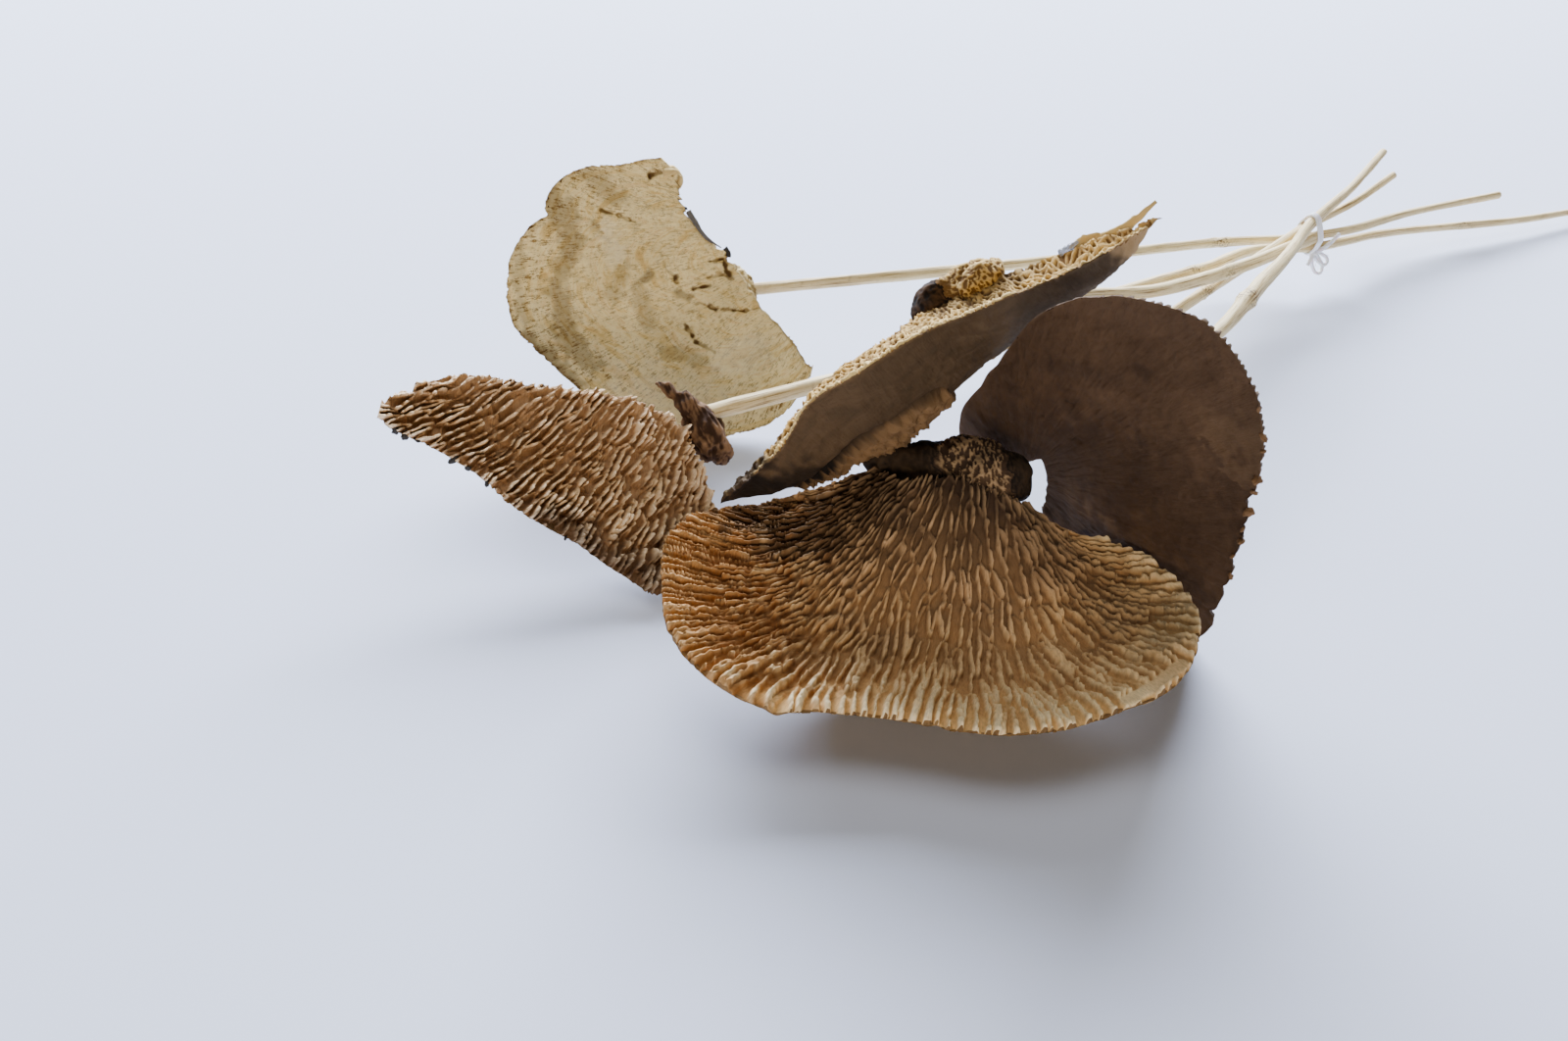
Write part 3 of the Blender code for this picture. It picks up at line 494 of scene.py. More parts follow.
def way_round(cap):
    """The rows of a cap's mesh: out over the pore side, round the margin, back over the smooth skin, and
    up the torn wall at the root. For each its place from root to margin, its side from 1 at the pores to
    -1 at the skin, and how far it bulges at the margin and is hollowed at the root."""
    over, under = (np.linspace(0.0, 1.0, n) for n in cap["rows"])
    rim = np.radians(90.0 - 180.0 * np.arange(1, RIM_STEPS + 1) / (RIM_STEPS + 1))
    wall = np.radians(-90.0 + 180.0 * np.arange(1, WALL_STEPS + 1) / (WALL_STEPS + 1))
    ones = np.ones(len(over)), np.ones(len(under))
    face = np.concatenate([over, np.ones(RIM_STEPS), under[::-1], np.zeros(WALL_STEPS), over[:1]])[:, None]
    side = np.concatenate([ones[0], np.sin(rim), -ones[1], np.sin(wall), [1.0]])[:, None]
    bulge = np.concatenate([0 * ones[0], np.cos(rim), 0 * ones[1], 0 * wall, [0.0]])[:, None]
    hollow = np.concatenate([0 * ones[0], 0 * rim, 0 * ones[1], np.cos(wall), [0.0]])[:, None]

    # At the fan's two ends both faces share one line of points
    face = np.repeat(face, cap["columns"] + 1, axis=1)
    face[:, [0, -1]] = np.round(face[:, [0, -1]] * END_STEPS) / END_STEPS
    return face, side, bulge, hollow


def skin_relief(cap, x, y, t, s, across, reach, skin):
    """How deep a cap's skin lies at each point; where its rough strip is, and the groove beside that;
    and how deep its cracks are."""
    seed = cap["seed"]
    inward, outward = (1.0 - s) * reach, s * reach
    zones = ripple(inward / 5.0 + 0.6 * ripple(across / 16.0, inward / 30.0, seed + 9), 0.5, seed + 10)
    fibres = ripple(across / 1.6 + ripple(x / 9.0, y / 9.0, seed + 15), inward / 6.0, seed + 11)
    swells = ripple(x / 20.0, y / 20.0, seed + 12) + 0.4 * ripple(x / 7.0, y / 7.0, seed + 14)
    grains = ripple(x / 1.2, y / 1.2, seed + 16) + 1.4 * ripple(x / 2.9, y / 2.9, seed + 18)
    dents = (ZONE_RISE * (1 + zones) + FIBRE_RISE * (1 + fibres) + SWELL_RISE * (1.4 + swells)
             + GRAIN_RISE * (2 + grains))
    strip = groove = split = np.zeros_like(s)
    if cap["strip"]:
        edge_at = np.interp(t, *np.array(cap["strip"]).T, left=0.0, right=0.0)
        edge_at = edge_at + 0.02 * ripple(t * 40, 0.5, seed + 19)
        strip = ease(-0.01, 0.02, edge_at - s) * skin
        # The groove is cut into the skin here; the finish also paints it dark, as shade in it.
        groove = np.exp(-((s - edge_at) * reach / 1.3) ** 2) * skin
        groove = groove * ease(0.0, 0.1, edge_at) * (1 - 0.5 * ease(0.2, 0.4, t))
        folds = np.abs(ripple(across / 5.0, outward / 1.5, seed + 21))
        crumbs = ripple(across / 2.0, outward / 1.2, seed + 22)
        dents = dents + strip * (STRIP_FOLD * folds + STRIP_CRUMB * crumbs - STRIP_SUNK) + STRIP_CUT * groove
    kink = 0.7 * ripple(x / 1.6, y / 1.6, seed + 17)
    kept = 0.35 + 0.65 * ease(-0.3, 0.4, ripple(x / 2.3, y / 2.3, seed + 23))
    # Each crack is cut into the skin here; the finish also paints it darker, as shade in it.
    for crack, deep, wide in cap["cracks"]:
        apart = np.abs(near_line(x, y, crack) + kink) / wide
        split = np.maximum(split, kept * deep * (1.0 - ease(0.2, 1.0, apart)))
    return dents, strip, groove, split


def cap_skin(cap):
    """Rows of points round a cap, and what the materials read at each point."""
    seed, t = cap["seed"], np.linspace(0.0, 1.0, cap["columns"] + 1)
    face, side, bulge, hollow = way_round(cap)
    root, margin = along(cap["root"], t), along(cap["margin"], t)
    reach = np.maximum(np.linalg.norm(margin - root, axis=1), 6.0)
    width = np.linalg.norm(np.diff(margin, axis=0), axis=1).sum()
    root_width = np.linalg.norm(np.diff(root, axis=0), axis=1).sum()
    across = t * width
    ends = np.sqrt(1.0 - (1.0 - np.minimum(1.0, np.minimum(t, 1 - t) * width / 3.0)) ** 2)
    near = (WALL_ROUND * ends + edge_wear(t * root_width, cap["torn"], seed + 20) * ends) / reach
    nick = sum(deep * np.exp(-((margin[:, 0] - nx) ** 2 + (margin[:, 1] - ny) ** 2) / wide ** 2)
               for (nx, ny), deep, wide in cap["nicks"])
    far = ((RIM_ROUND + nick) * ends + edge_wear(across, cap["worn"], seed + 30) * ends) / reach
    s = near + face * (1.0 - near - far) + (bulge * RIM_ROUND * ends - hollow * WALL_ROUND * ends) / reach

    sheet = root + (margin - root) * s[..., None]
    belly = (np.clip(4 * s * (1 - s), 0.0, 1.0) ** 1.6) * (4 * t * (1 - t)) ** 0.6
    sheet[..., 2] -= cap["sag"] * belly
    x, y = sheet[..., 0], sheet[..., 1]

    thick_root, thick_margin = cap["thick"]
    heavy = cap["heavy_at"]
    heaviness = np.where(t < heavy, (t / heavy) ** 0.8, ((1 - t) / (1 - heavy)) ** 1.3)
    body = (thick_root - thick_margin) * np.clip(1.0 - s, 0.0, 1.0) ** 0.9 * heaviness
    inward, outward = (1.0 - s) * reach, s * reach
    thin = cap["edge"] + (1.0 - cap["edge"]) * ease(0.0, 9.0, inward)
    blunt, until = cap["blunt"]
    thin = np.maximum(thin, blunt * (1.0 - ease(0.2 * until, until, t)))
    if cap["outline_on"] == "pores":
        top = thick_margin / 2 * ends
        bottom = (thick_margin * (0.5 - thin)) * ends - body
    else:
        bottom = -thick_margin / 2 * ends
        top = (thick_margin * (thin - 0.5)) * ends + body

    gilled = ease(-0.2, 0.9, side) * ease(0.2, 2.0, outward) * ease(0.0, 0.9, inward)
    gilled = gilled * ease(0.0, 2.0, across) * ease(0.0, 2.0, width - across)
    for line, wide in cap["bald"]:
        gilled = gilled * ease(0.5, 1.0, near_line(x, y, line) / wide)
    pored = side[:, 0] > -0.2
    height = np.full(s.shape, 0.8)
    out, line, spread, lean_x, lean_y = growth_lines(cap, t, s, root, margin, x, y)
    height[pored] = pore_walls(cap, x[pored], y[pored], out[pored], line[pored], spread[pored])
    relief = np.maximum(cap["depth"] * (height - 0.5), -0.75 * (top - bottom)) * gilled

    skin = ease(0.3, 1.0, -side) * ends
    dents, strip, groove, split = skin_relief(cap, x, y, t, s, across, reach, skin)
    raw = hollow * (0.5 + 0.5 * ripple(t * root_width / 1.6, side * 2.5, seed + 13))
    crease = sum(deep * np.exp(-(near_line(x, y, line) / wide) ** 2)
                 for line, deep, wide in cap["creases"])
    sheet[..., 2] += (top + bottom) / 2 + side * (top - bottom) / 2 + relief + (dents + split) * skin - crease
    sheet[..., 0] += raw * 1.2 * ends + cap["lean"] * height * gilled * lean_x
    sheet[..., 1] += cap["lean"] * height * gilled * lean_y
    reads = dict(
        grown=np.stack([across + 0 * s, inward, side + 0 * s], axis=-1),
        crest=np.clip(height * gilled + (1.0 - gilled) * cap["rim_tone"], 0.0, 1.0),
        out=np.clip(s, 0.0, 1.0),
        torn=np.clip(hollow + split + 0.8 * strip, 0.0, 1.0),
        # Real stains and the painted shade and light set in the patches, with painted shade in the groove
        # beside the rough strip and in the cracks.
        stain=np.clip(patches(x, y, cap["stains_and_shade"], seed + 40) + groove + 0.7 * split, -1.0, 1.0),
        blush=patches(x, y, cap["blush"], seed + 50),
    )
    return sheet, reads


# Meshes

def deselect():
    if bpy.context.object and bpy.context.object.mode != "OBJECT":
        bpy.ops.object.mode_set(mode="OBJECT")
    bpy.ops.object.select_all(action="DESELECT")


def grid_piece(name, points, reads):
    """A new grid whose points are moved to the given rows of places, with its seams closed."""
    deselect()
    rows, columns = points.shape[:2]
    bpy.ops.mesh.primitive_grid_add(x_subdivisions=columns - 1, y_subdivisions=rows - 1, size=1.0)
    piece = bpy.context.object
    piece.name = piece.data.name = name
    mesh = piece.data
    mesh.vertices.foreach_set("co", (points.reshape(-1) * MM).astype(np.float32))
    for key, values in reads.items():
        vector = values.ndim == 3
        layer = mesh.attributes.new(key, "FLOAT_VECTOR" if vector else "FLOAT", "POINT")
        layer.data.foreach_set("vector" if vector else "value", values.reshape(-1).astype(np.float32))
    bpy.ops.object.mode_set(mode="EDIT")
    bpy.ops.mesh.select_all(action="SELECT")
    bpy.ops.mesh.remove_doubles(threshold=WELD)
    bpy.ops.mesh.normals_make_consistent(inside=False)
    bpy.ops.object.mode_set(mode="OBJECT")
    return piece


def dress(piece, node, slot, *materials):
    """Hangs the piece on the body, in place of its CAD node, and gives it its finishes."""
    piece.data.materials.clear()
    for material in materials:
        piece.data.materials.append(material)
    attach(piece, "root")
    if node:
        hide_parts(node)
    return piece


def reshape(piece, kind, **settings):
    """Puts a modifier on the piece and applies it."""
    modifier = piece.modifiers.new(kind, kind)
    for key, value in settings.items():
        setattr(modifier, key, value)
    bpy.ops.object.modifier_apply(modifier=modifier.name)


def join(parts, name):
    """Makes one piece of the parts."""
    for part in parts:
        part.select_set(True)
    bpy.context.view_layer.objects.active = parts[0]
    if len(parts) > 1:
        bpy.ops.object.join()
    piece = bpy.context.object
    piece.name = piece.data.name = name
    return piece


def grow_cap(name, cap, pores, skin):
    """A cap's flesh, with the skin's finish on the faces beyond the margin."""
    points, reads = cap_skin(cap)
    piece = grid_piece(f"{name}_flesh", placed(cap, points.reshape(-1, 3)).reshape(points.shape), reads)
    reshape(piece, "DECIMATE", ratio=min(1.0, MOST_TRIANGLES / (2 * len(piece.data.polygons))))
    dress(piece, name, name, pores, skin)
    side = np.empty(3 * len(piece.data.vertices), np.float32)
    piece.data.attributes["grown"].data.foreach_get("vector", side)
    side = side.reshape(-1, 3)[:, 2]
    corners = np.empty(len(piece.data.loops), np.int32)
    piece.data.loops.foreach_get("vertex_index", corners)
    starts = np.empty(len(piece.data.polygons), np.int32)
    piece.data.polygons.foreach_get("loop_start", starts)
    low = np.minimum.reduceat(side[corners], starts)
    piece.data.polygons.foreach_set("material_index", (low < SKIN_BELOW).astype(np.int32))
    piece.data.polygons.foreach_set("use_smooth", np.ones(len(starts), bool))
    piece.data.update()
    return piece


def woody_foot(name, cap, foot, wood, pores):
    """The knobbly foot at the root: lumps run together and roughened, with pores on part of it."""
    deselect()
    made = []
    for centre, half in foot["lumps"]:
        bpy.ops.mesh.primitive_ico_sphere_add(subdivisions=4, radius=1.0)
        lump = bpy.context.object
        for v in lump.data.vertices:
            knob = 0.97 + 0.16 * noise.noise(v.co * 1.7 + Vector((cap["seed"], 0.0, 0.0)))
            v.co = Vector([(c + h * k * knob) for c, h, k in zip(centre, half, v.co)])
        made.append(lump)
    piece = join(made, f"{name}_foot")
    reshape(piece, "REMESH", mode="VOXEL", voxel_size=FOOT_GRAIN)
    reshape(piece, "SMOOTH", iterations=foot["soften"])
    co = np.array([v.co for v in piece.data.vertices])
    normal = np.array([v.normal for v in piece.data.vertices])
    rough = foot["rough"] * np.array([
        0.9 * noise.fractal(Vector(p) / 5.0, 1.0, 2.1, 5)
        - 1.6 * abs(noise.noise(Vector(p / np.array(foot["furrows"])) + Vector((7.0, 0.0, 0.0))))
        for p in co])
    first, last = foot["pored"]
    across = co[:, 1] + [3.5 * noise.noise(Vector(p) / 4.5) for p in co]
    pored = ease(first - 5.0, first + 7.0, across) * (1.0 - ease(last - 7.0, last + 5.0, across))
    # Higher on the ridges; the foot's finish paints the ridges light and the furrows dark, as painted
    # highlight and shade.
    crest = np.clip(0.5 + 0.8 * (rough + 0.2), 0.0, 1.0)
    if pored.any():
        stretch, pore, shift = np.array(foot["stretch"]), foot["pore"], Vector((3.0, 1.0, 0.0))
        winding = np.array([abs(noise.noise(Vector(p / stretch) / pore + shift)) for p in co])
        crest += pored * (1.0 - ease(*foot["wall"], winding) - crest)
    relief = rough * (1 - 0.7 * pored) - 0.2 + pored * FOOT_PORE_DEPTH * (crest - 0.6)
    co = co + normal * relief[:, None]
    co[:, 2] = np.maximum(co[:, 2], foot["lowest"])
    piece.data.vertices.foreach_set("co", (placed(cap, co) * MM).astype(np.float32).ravel())
    crest = np.where(pored > 0.5, crest * ease(0.4, 0.9, pored), crest)
    reads = dict(crest=crest, out=0.1 * crest + foot["out"] * pored, stain=0.15 + 0 * crest, blush=0 * crest)
    for key, values in reads.items():
        layer = piece.data.attributes.new(key, "FLOAT", "POINT")
        layer.data.foreach_set("value", values.astype(np.float32))
    layer = piece.data.attributes.new("grown", "FLOAT_VECTOR", "POINT")
    layer.data.foreach_set("vector", co.astype(np.float32).ravel())
    dress(piece, None, name, wood, pores)
    for face in piece.data.polygons:
        face.material_index = int(min(pored[v] for v in face.vertices) > 0.5)
    piece.data.shade_smooth()
    piece.data.update()
    return piece


def frames_along(path):
    """Two directions square to a path at each of its points, without twisting between them."""
    way = np.gradient(path, axis=0)
    way /= np.linalg.norm(way, axis=1)[:, None]
    side = np.zeros_like(path)
    first = np.cross(way[0], [0.0, 0.0, 1.0])
    side[0] = first / np.linalg.norm(first)
    for i in range(1, len(path)):
        flat = side[i - 1] - way[i] * side[i - 1].dot(way[i])
        side[i] = flat / np.linalg.norm(flat)
    return side, np.cross(way, side)


def tube(name, path, radius, reads):
    """A closed tube round a path; radius has one row of values for each point of the path."""
    sides = radius.shape[1]
    side, other = frames_along(path)
    turn = np.linspace(0.0, math.tau, sides)
    ring = np.cos(turn)[None, :, None] * side[:, None] + np.sin(turn)[None, :, None] * other[:, None]
    points = path[:, None] + ring * radius[..., None]
    first, last = points.mean(axis=1, keepdims=True)[[0, -1]].repeat(sides, axis=1)
    points = np.concatenate([first[None], points, last[None]])
    reads = {k: np.concatenate([v[:1], v, v[-1:]]) for k, v in reads.items()}
    piece = grid_piece(name, points - ORIGIN, reads)
    piece.data.shade_smooth()
    return piece


def splinter(name, route, half_width, half_thickness, seed):
    """A flat torn sliver along a route, thinning to its tip."""
    share = np.linspace(0.0, 1.0, SPLINTER_RINGS)[:, None]
    path = along(route, share[:, 0])
    round_it = np.linspace(0.0, math.tau, SPLINTER_SIDES)[None, :]
    taper = np.clip((1.0 - share ** 1.6) * 1.05, 0.08, 1.0)
    wide = half_width * taper * (1.0 + 0.25 * ripple(share * 6.0, 0.5, seed))
    thick = half_thickness * (0.25 + 0.75 * taper)
    rough = 1.0 + 0.22 * ripple(np.cos(round_it) * 2.5 + 4.0, np.sin(round_it) * 2.5 + share * 14.0, seed + 1)
    radius = rough * wide * thick / np.hypot(thick * np.cos(round_it), wide * np.sin(round_it))
    zero = np.zeros_like(radius)
    return tube(name, path, radius, dict(crest=zero + 0.7, out=zero + 0.9, stain=zero + 0.1, blush=zero))


def bark_crumbs(name, cap, edge, crumbs, bark):
    """Small flat crumbs, half sunk in the margin or the root's edge, in one piece."""
    deselect()
    sheet, _ = cap_skin(cap)
    row = cap["rows"][0] + RIM_STEPS // 2 if edge == "margin" else -2 - WALL_STEPS // 2
    made = []
    for share, size in crumbs:
        x, y, z = sheet[row, round(share * cap["columns"])]
        bpy.ops.mesh.primitive_ico_sphere_add(subdivisions=3, radius=1.0)
        crumb = bpy.context.object
        for v in crumb.data.vertices:
            rough = 1.0 + 0.55 * noise.noise(v.co * 1.6 + Vector((x, y, z)))
            flat = Vector((v.co.x, 0.75 * v.co.y, 0.45 * v.co.z)) * size * rough
            flat.rotate(Euler((x, y, z)))
            v.co = Vector(placed(cap, np.array([x + flat.x, y + flat.y, z + flat.z]))) * MM
        made.append(crumb)
    piece = join(made, f"{name}_crumbs")
    piece.data.shade_smooth()
    return dress(piece, None, name, bark)


def bunch_point(along_bunch, front, up):
    """A place near the tie, from distances along the bunch, to its front and up."""
    return np.array([
        TIE_CENTRE[0] + along_bunch * math.cos(TIE_HEADING) + front * math.sin(TIE_HEADING),
        TIE_CENTRE[1] + along_bunch * math.sin(TIE_HEADING) - front * math.cos(TIE_HEADING),
        TIE_CENTRE[2] + up])


def twig_route(twig):
    """A twig's rings as (x, y, z, radius), close together at its ends, and how far along each one is."""
    front, up, radius = twig["slot"]
    slot = np.array([*bunch_point(0.0, front, up), radius])
    stations = [twig["base"], *twig["body"], slot, *twig["tail"]]
    if not twig["tail"]:
        stations[-1] = slot + (slot - np.array(stations[-2])) * STUB
    length = sum(math.dist(a[:3], b[:3]) for a, b in zip(stations, stations[1:]))
    close = np.array(CUT_EDGE)[:, 0] / length
    between = np.linspace(0.0, 1.0, round(length / TWIG_RING))[1:-1]
    fractions = np.concatenate([close, between, 1.0 - close[::-1]])
    return along(stations, fractions), length * fractions


def peel_twig(name, twig, seed):
    """A peeled twig: a little crooked and ribbed, swollen at its knots, with cut ends."""
    route, place = twig_route(twig)
    path, radius, length = route[:, :3], route[:, 3], place[-1]
    place = place[:, None]
    round_it = np.linspace(0.0, math.tau, TWIG_SIDES)[None, :]
    turn = np.stack([np.cos(round_it), np.sin(round_it)])
    rib = ripple(turn[0] * 1.8 + 5.0 + place / 60.0, turn[1] * 1.8 + place / 40.0 + 9.0, seed)
    grooves = np.abs(ripple(turn[0] * 3.4 + place / 50.0, turn[1] * 3.4 + 7.0, seed + 3))
    dent = ripple(turn[0] * 1.2 + place / 9.0, turn[1] * 1.2 + place / 13.0 + 3.0, seed + 1)
    swell = sum(size * np.exp(-((place - at * length) / KNOT_REACH) ** 2)
                * (0.7 + 0.6 * ripple(turn[0] * 1.5 + place / 3.0, turn[1] * 1.5 + 4.0, seed + 2)
                   + 0.5 * ripple(turn[0] * 3.0 + place / 1.6, turn[1] * 3.0 + 4.0, seed + 4))
                for at, size in twig["knots"])
    skin = radius[:, None] * (0.99 + 0.08 * rib + 0.05 * dent - 0.10 * grooves + 0.6 * swell)
    rounded = np.array(CUT_EDGE)[:, 1:]
    skin[:len(rounded)] *= rounded
    skin[-len(rounded):] *= rounded[::-1]
    grain = np.stack(np.broadcast_arrays(turn[0] * 2.4 + seed, turn[1] * 2.4, place + 0 * round_it), axis=-1)
    knot = np.clip(np.broadcast_to(swell / 0.3, skin.shape), 0.0, 1.0)
    return tube(name, path, skin, dict(grain=grain, knot=knot))


def string_round(angle):
    """Where the taut string lies round the twigs' sections at the tie, as (to the front, up)."""
    way = np.array([math.cos(angle), math.sin(angle)])
    clear = TIE_SLACK + STRING_DIAMETER / 2
    front, up, radius = max((twig["slot"] for twig in TWIGS.values()),
                            key=lambda slot: slot[0] * way[0] + slot[1] * way[1] + slot[2])
    return np.array([front, up]) + way * (radius + clear)


def string_length(name, route, thickness=1.0):
    """A length of twisted cotton string along a route."""
    length = np.linalg.norm(np.diff(route, axis=0), axis=1).sum()
    path = along(route, np.linspace(0.0, 1.0, max(12, round(length / STRING_RING))))
    place = np.linspace(0.0, length, len(path))[:, None]
    turn = np.linspace(0.0, math.tau, STRING_SIDES + 1)[None, :]
    strands = np.abs(np.cos(STRANDS * (turn - place * math.tau / TWIST / STRANDS) / 2.0))
    radius = thickness * STRING_DIAMETER / 2 * (0.85 + 0.25 * strands)
    lay = np.stack(np.broadcast_arrays(turn + 0 * place, place + 0 * turn, 0 * place * turn), axis=-1)
    return tube(name, path, radius, dict(lay=lay, strand=strands))


def tie_string(cotton):
    """The tie: taut turns round the twigs, then the bow, the loose ends and the fibres at the knot."""
    knot_front, knot_up = string_round(KNOT_ANGLE) * 1.05
    knot = bunch_point(0.0, knot_front, knot_up)
    pieces = []
    for n, place in enumerate((np.arange(TIE_TURNS) - (TIE_TURNS - 1) / 2) * TIE_PITCH):
        angles = np.linspace(0.0, math.tau, 49)
        turn = [bunch_point(place, *string_round(a)) for a in angles]
        pieces.append(string_length(f"string_turn_{n}", np.array(turn)))
    for n, (far, half_width) in enumerate(BOW_LOOPS):
        reach = bunch_point(far[0], knot_front + far[1], knot_up + far[2]) - knot
        across = np.cross(reach, [0.0, -CAMERA_BACK, CAMERA_HEIGHT])
        across *= half_width / np.linalg.norm(across)
        loop = [knot + reach * math.sin(a / 2) + across * (0.4 * math.cos(a / 2) + 0.8 * math.sin(a))
                for a in np.linspace(0.0, math.tau, 17)]
        pieces.append(string_length(f"string_loop_{n}", np.array(loop), BOW_THICKNESS))
    for n, end in enumerate(LOOSE_ENDS):
        route = [knot] + [bunch_point(a, knot_front + f, knot_up + u) for a, f, u in end]
        pieces.append(string_length(f"string_end_{n}", np.array(route), BOW_THICKNESS))
    for n, (a, f, u) in enumerate(FUZZ):
        sway = np.array([bunch_point(a * 0.5, knot_front + f * 0.9, knot_up + u * 0.3),
                         bunch_point(a, knot_front + f, knot_up + u)])
        pieces.append(string_length(f"string_hair_{n}", np.array([knot, *sway]), thickness=HAIR))
    # The knot itself: a short tight winding over the crossing
    over, across, way = np.array([0.2, 0.3, 0.93]), np.array([0.8, -0.6, 0.0]), np.array([0.6, 0.8, 0.0])
    wind = [knot + math.cos(a) * over + math.sin(a) * across + way * (a / math.tau - 1.0) * 0.7
            for a in np.linspace(0.0, 2 * math.tau, 33)]
    pieces.append(string_length("string_knot", np.array(wind)))
    for n, piece in enumerate(pieces):
        dress(piece, "string_tie" if n == 0 else None, "string_tie", cotton)


# Materials

def srgb(code):
    """An sRGB hex colour as linear red, green, blue and alpha."""
    channels = [int(code[i:i + 2], 16) / 255 for i in (0, 2, 4)]
    return (*[c / 12.92 if c <= 0.04045 else ((c + 0.055) / 1.055) ** 2.4 for c in channels], 1.0)


def add(tree, kind, inputs=None, stops=None, **settings):
    """Adds a node; inputs holds values or other nodes' sockets, stops a ramp's places and colours."""
    made = tree.nodes.new("ShaderNode" + kind)
    for key, value in settings.items():
        setattr(made, key, value)
    for socket, value in (inputs or {}).items():
        if isinstance(value, bpy.types.NodeSocket):
            tree.links.new(value, made.inputs[socket])
        else:
            made.inputs[socket].default_value = value
    if stops:
        elements = made.color_ramp.elements
        while len(elements) < len(stops):
            elements.new(1.0)
        for element, (place, colour) in zip(elements, stops):
            element.position = place
            element.color = srgb(colour)
    return made


def new_material(name, roughness, specular=0.5):
    material = bpy.data.materials.new(name)
    material.use_nodes = True
    tree = material.node_tree
    shader = tree.nodes["Principled BSDF"]
    shader.inputs["Roughness"].default_value = roughness
    shader.inputs["Specular IOR Level"].default_value = specular
    return material, tree, shader


def read(tree, output, *keys):
    """What the pieces' points say under these names."""
    return [add(tree, "Attribute", attribute_name=key).outputs[output] for key in keys]


def surface(tree, shader, colour, height, strength, depth):
    """Links a finish's colour and its relief, which is depth millimetres deep."""
    if colour:
        tree.links.new(colour, shader.inputs["Base Color"])
    bump = add(tree, "Bump", {"Height": height, "Strength": strength, "Distance": depth * MM})
    tree.links.new(bump.outputs["Normal"], shader.inputs["Normal"])


def pore_flesh(name, deep, crests, dark="33261C"):
    """Dried bracket flesh, grown as thin walls round its pores.

    Corky and without gloss. The walls' crests are painted pale, partly as rubbed flesh and partly as a
    painted highlight, and the pores between them darker brown, partly their own tone and partly painted
    shade; the flesh darkens towards the root. Dark patches add real stains and, on the front and middle caps,
    painted shade. Fibres run out along the walls, about 0.5 by 2 mm, and the torn surface has crumbs of 0.9
    mm, drawn coarser than real so that they show."""
    material, tree, shader = new_material(name, 0.9, 0.2)
    [grown] = read(tree, "Vector", "grown")
    crest, out, stain, blush = read(tree, "Fac", "crest", "out", "stain", "blush")
    coords = add(tree, "TexCoord").outputs["Object"]
    blotch = add(tree, "TexNoise", {"Vector": coords, "Scale": 1 / (14 * MM), "Detail": 4.0})
    drift = add(tree, "MapRange", {"Value": blotch.outputs["Fac"], "From Min": 0.3, "From Max": 0.7,
                                   "To Min": -0.12, "To Max": 0.12}).outputs["Result"]
    place = add(tree, "Math", {0: out, 1: drift}, operation="ADD").outputs[0]
    low = add(tree, "ValToRGB", {"Fac": place}, stops=deep).outputs["Color"]
    high = add(tree, "ValToRGB", {"Fac": place}, stops=crests).outputs["Color"]
    # Paler crests and darker pores: partly the flesh's own rubbed tone, partly painted highlight on the walls
    # and painted shade in the pores.
    rubbed_and_lit = add(tree, "MapRange", {"Value": crest, "From Min": 0.35, "From Max": 0.85}).outputs["Result"]
    flesh = add(tree, "Mix", {0: rubbed_and_lit, 6: low, 7: high}, data_type="RGBA").outputs[2]
    rusty = add(tree, "Mix", {0: blush, 6: flesh, 7: srgb("C4A88C")}, data_type="RGBA",
                blend_type="MULTIPLY").outputs[2]
    stretch = add(tree, "Mapping", {"Vector": grown, "Scale": (2.2, 0.45, 1.0)}).outputs["Vector"]
    fibre = add(tree, "TexNoise", {"Vector": stretch, "Scale": 1.0, "Detail": 6.0, "Roughness": 0.6})
    lit = add(tree, "MapRange", {"Value": fibre.outputs["Fac"], "From Min": 0.3, "From Max": 0.7,
                                 "To Min": 0.75, "To Max": 1.22}).outputs["Result"]
    shade = add(tree, "HueSaturation", {"Value": lit, "Color": rusty}).outputs["Color"]
    # Darker where the dark patches lie: real stains, and on the front and middle caps painted shade.
    stained_and_shaded = add(tree, "Mix", {0: stain, 6: shade, 7: srgb(dark)}, data_type="RGBA").outputs[2]
    crumb = add(tree, "TexNoise", {"Vector": coords, "Scale": 1 / (0.9 * MM), "Detail": 4.0})
    surface(tree, shader, stained_and_shaded, crumb.outputs["Fac"], 0.5, 0.3)
    return material


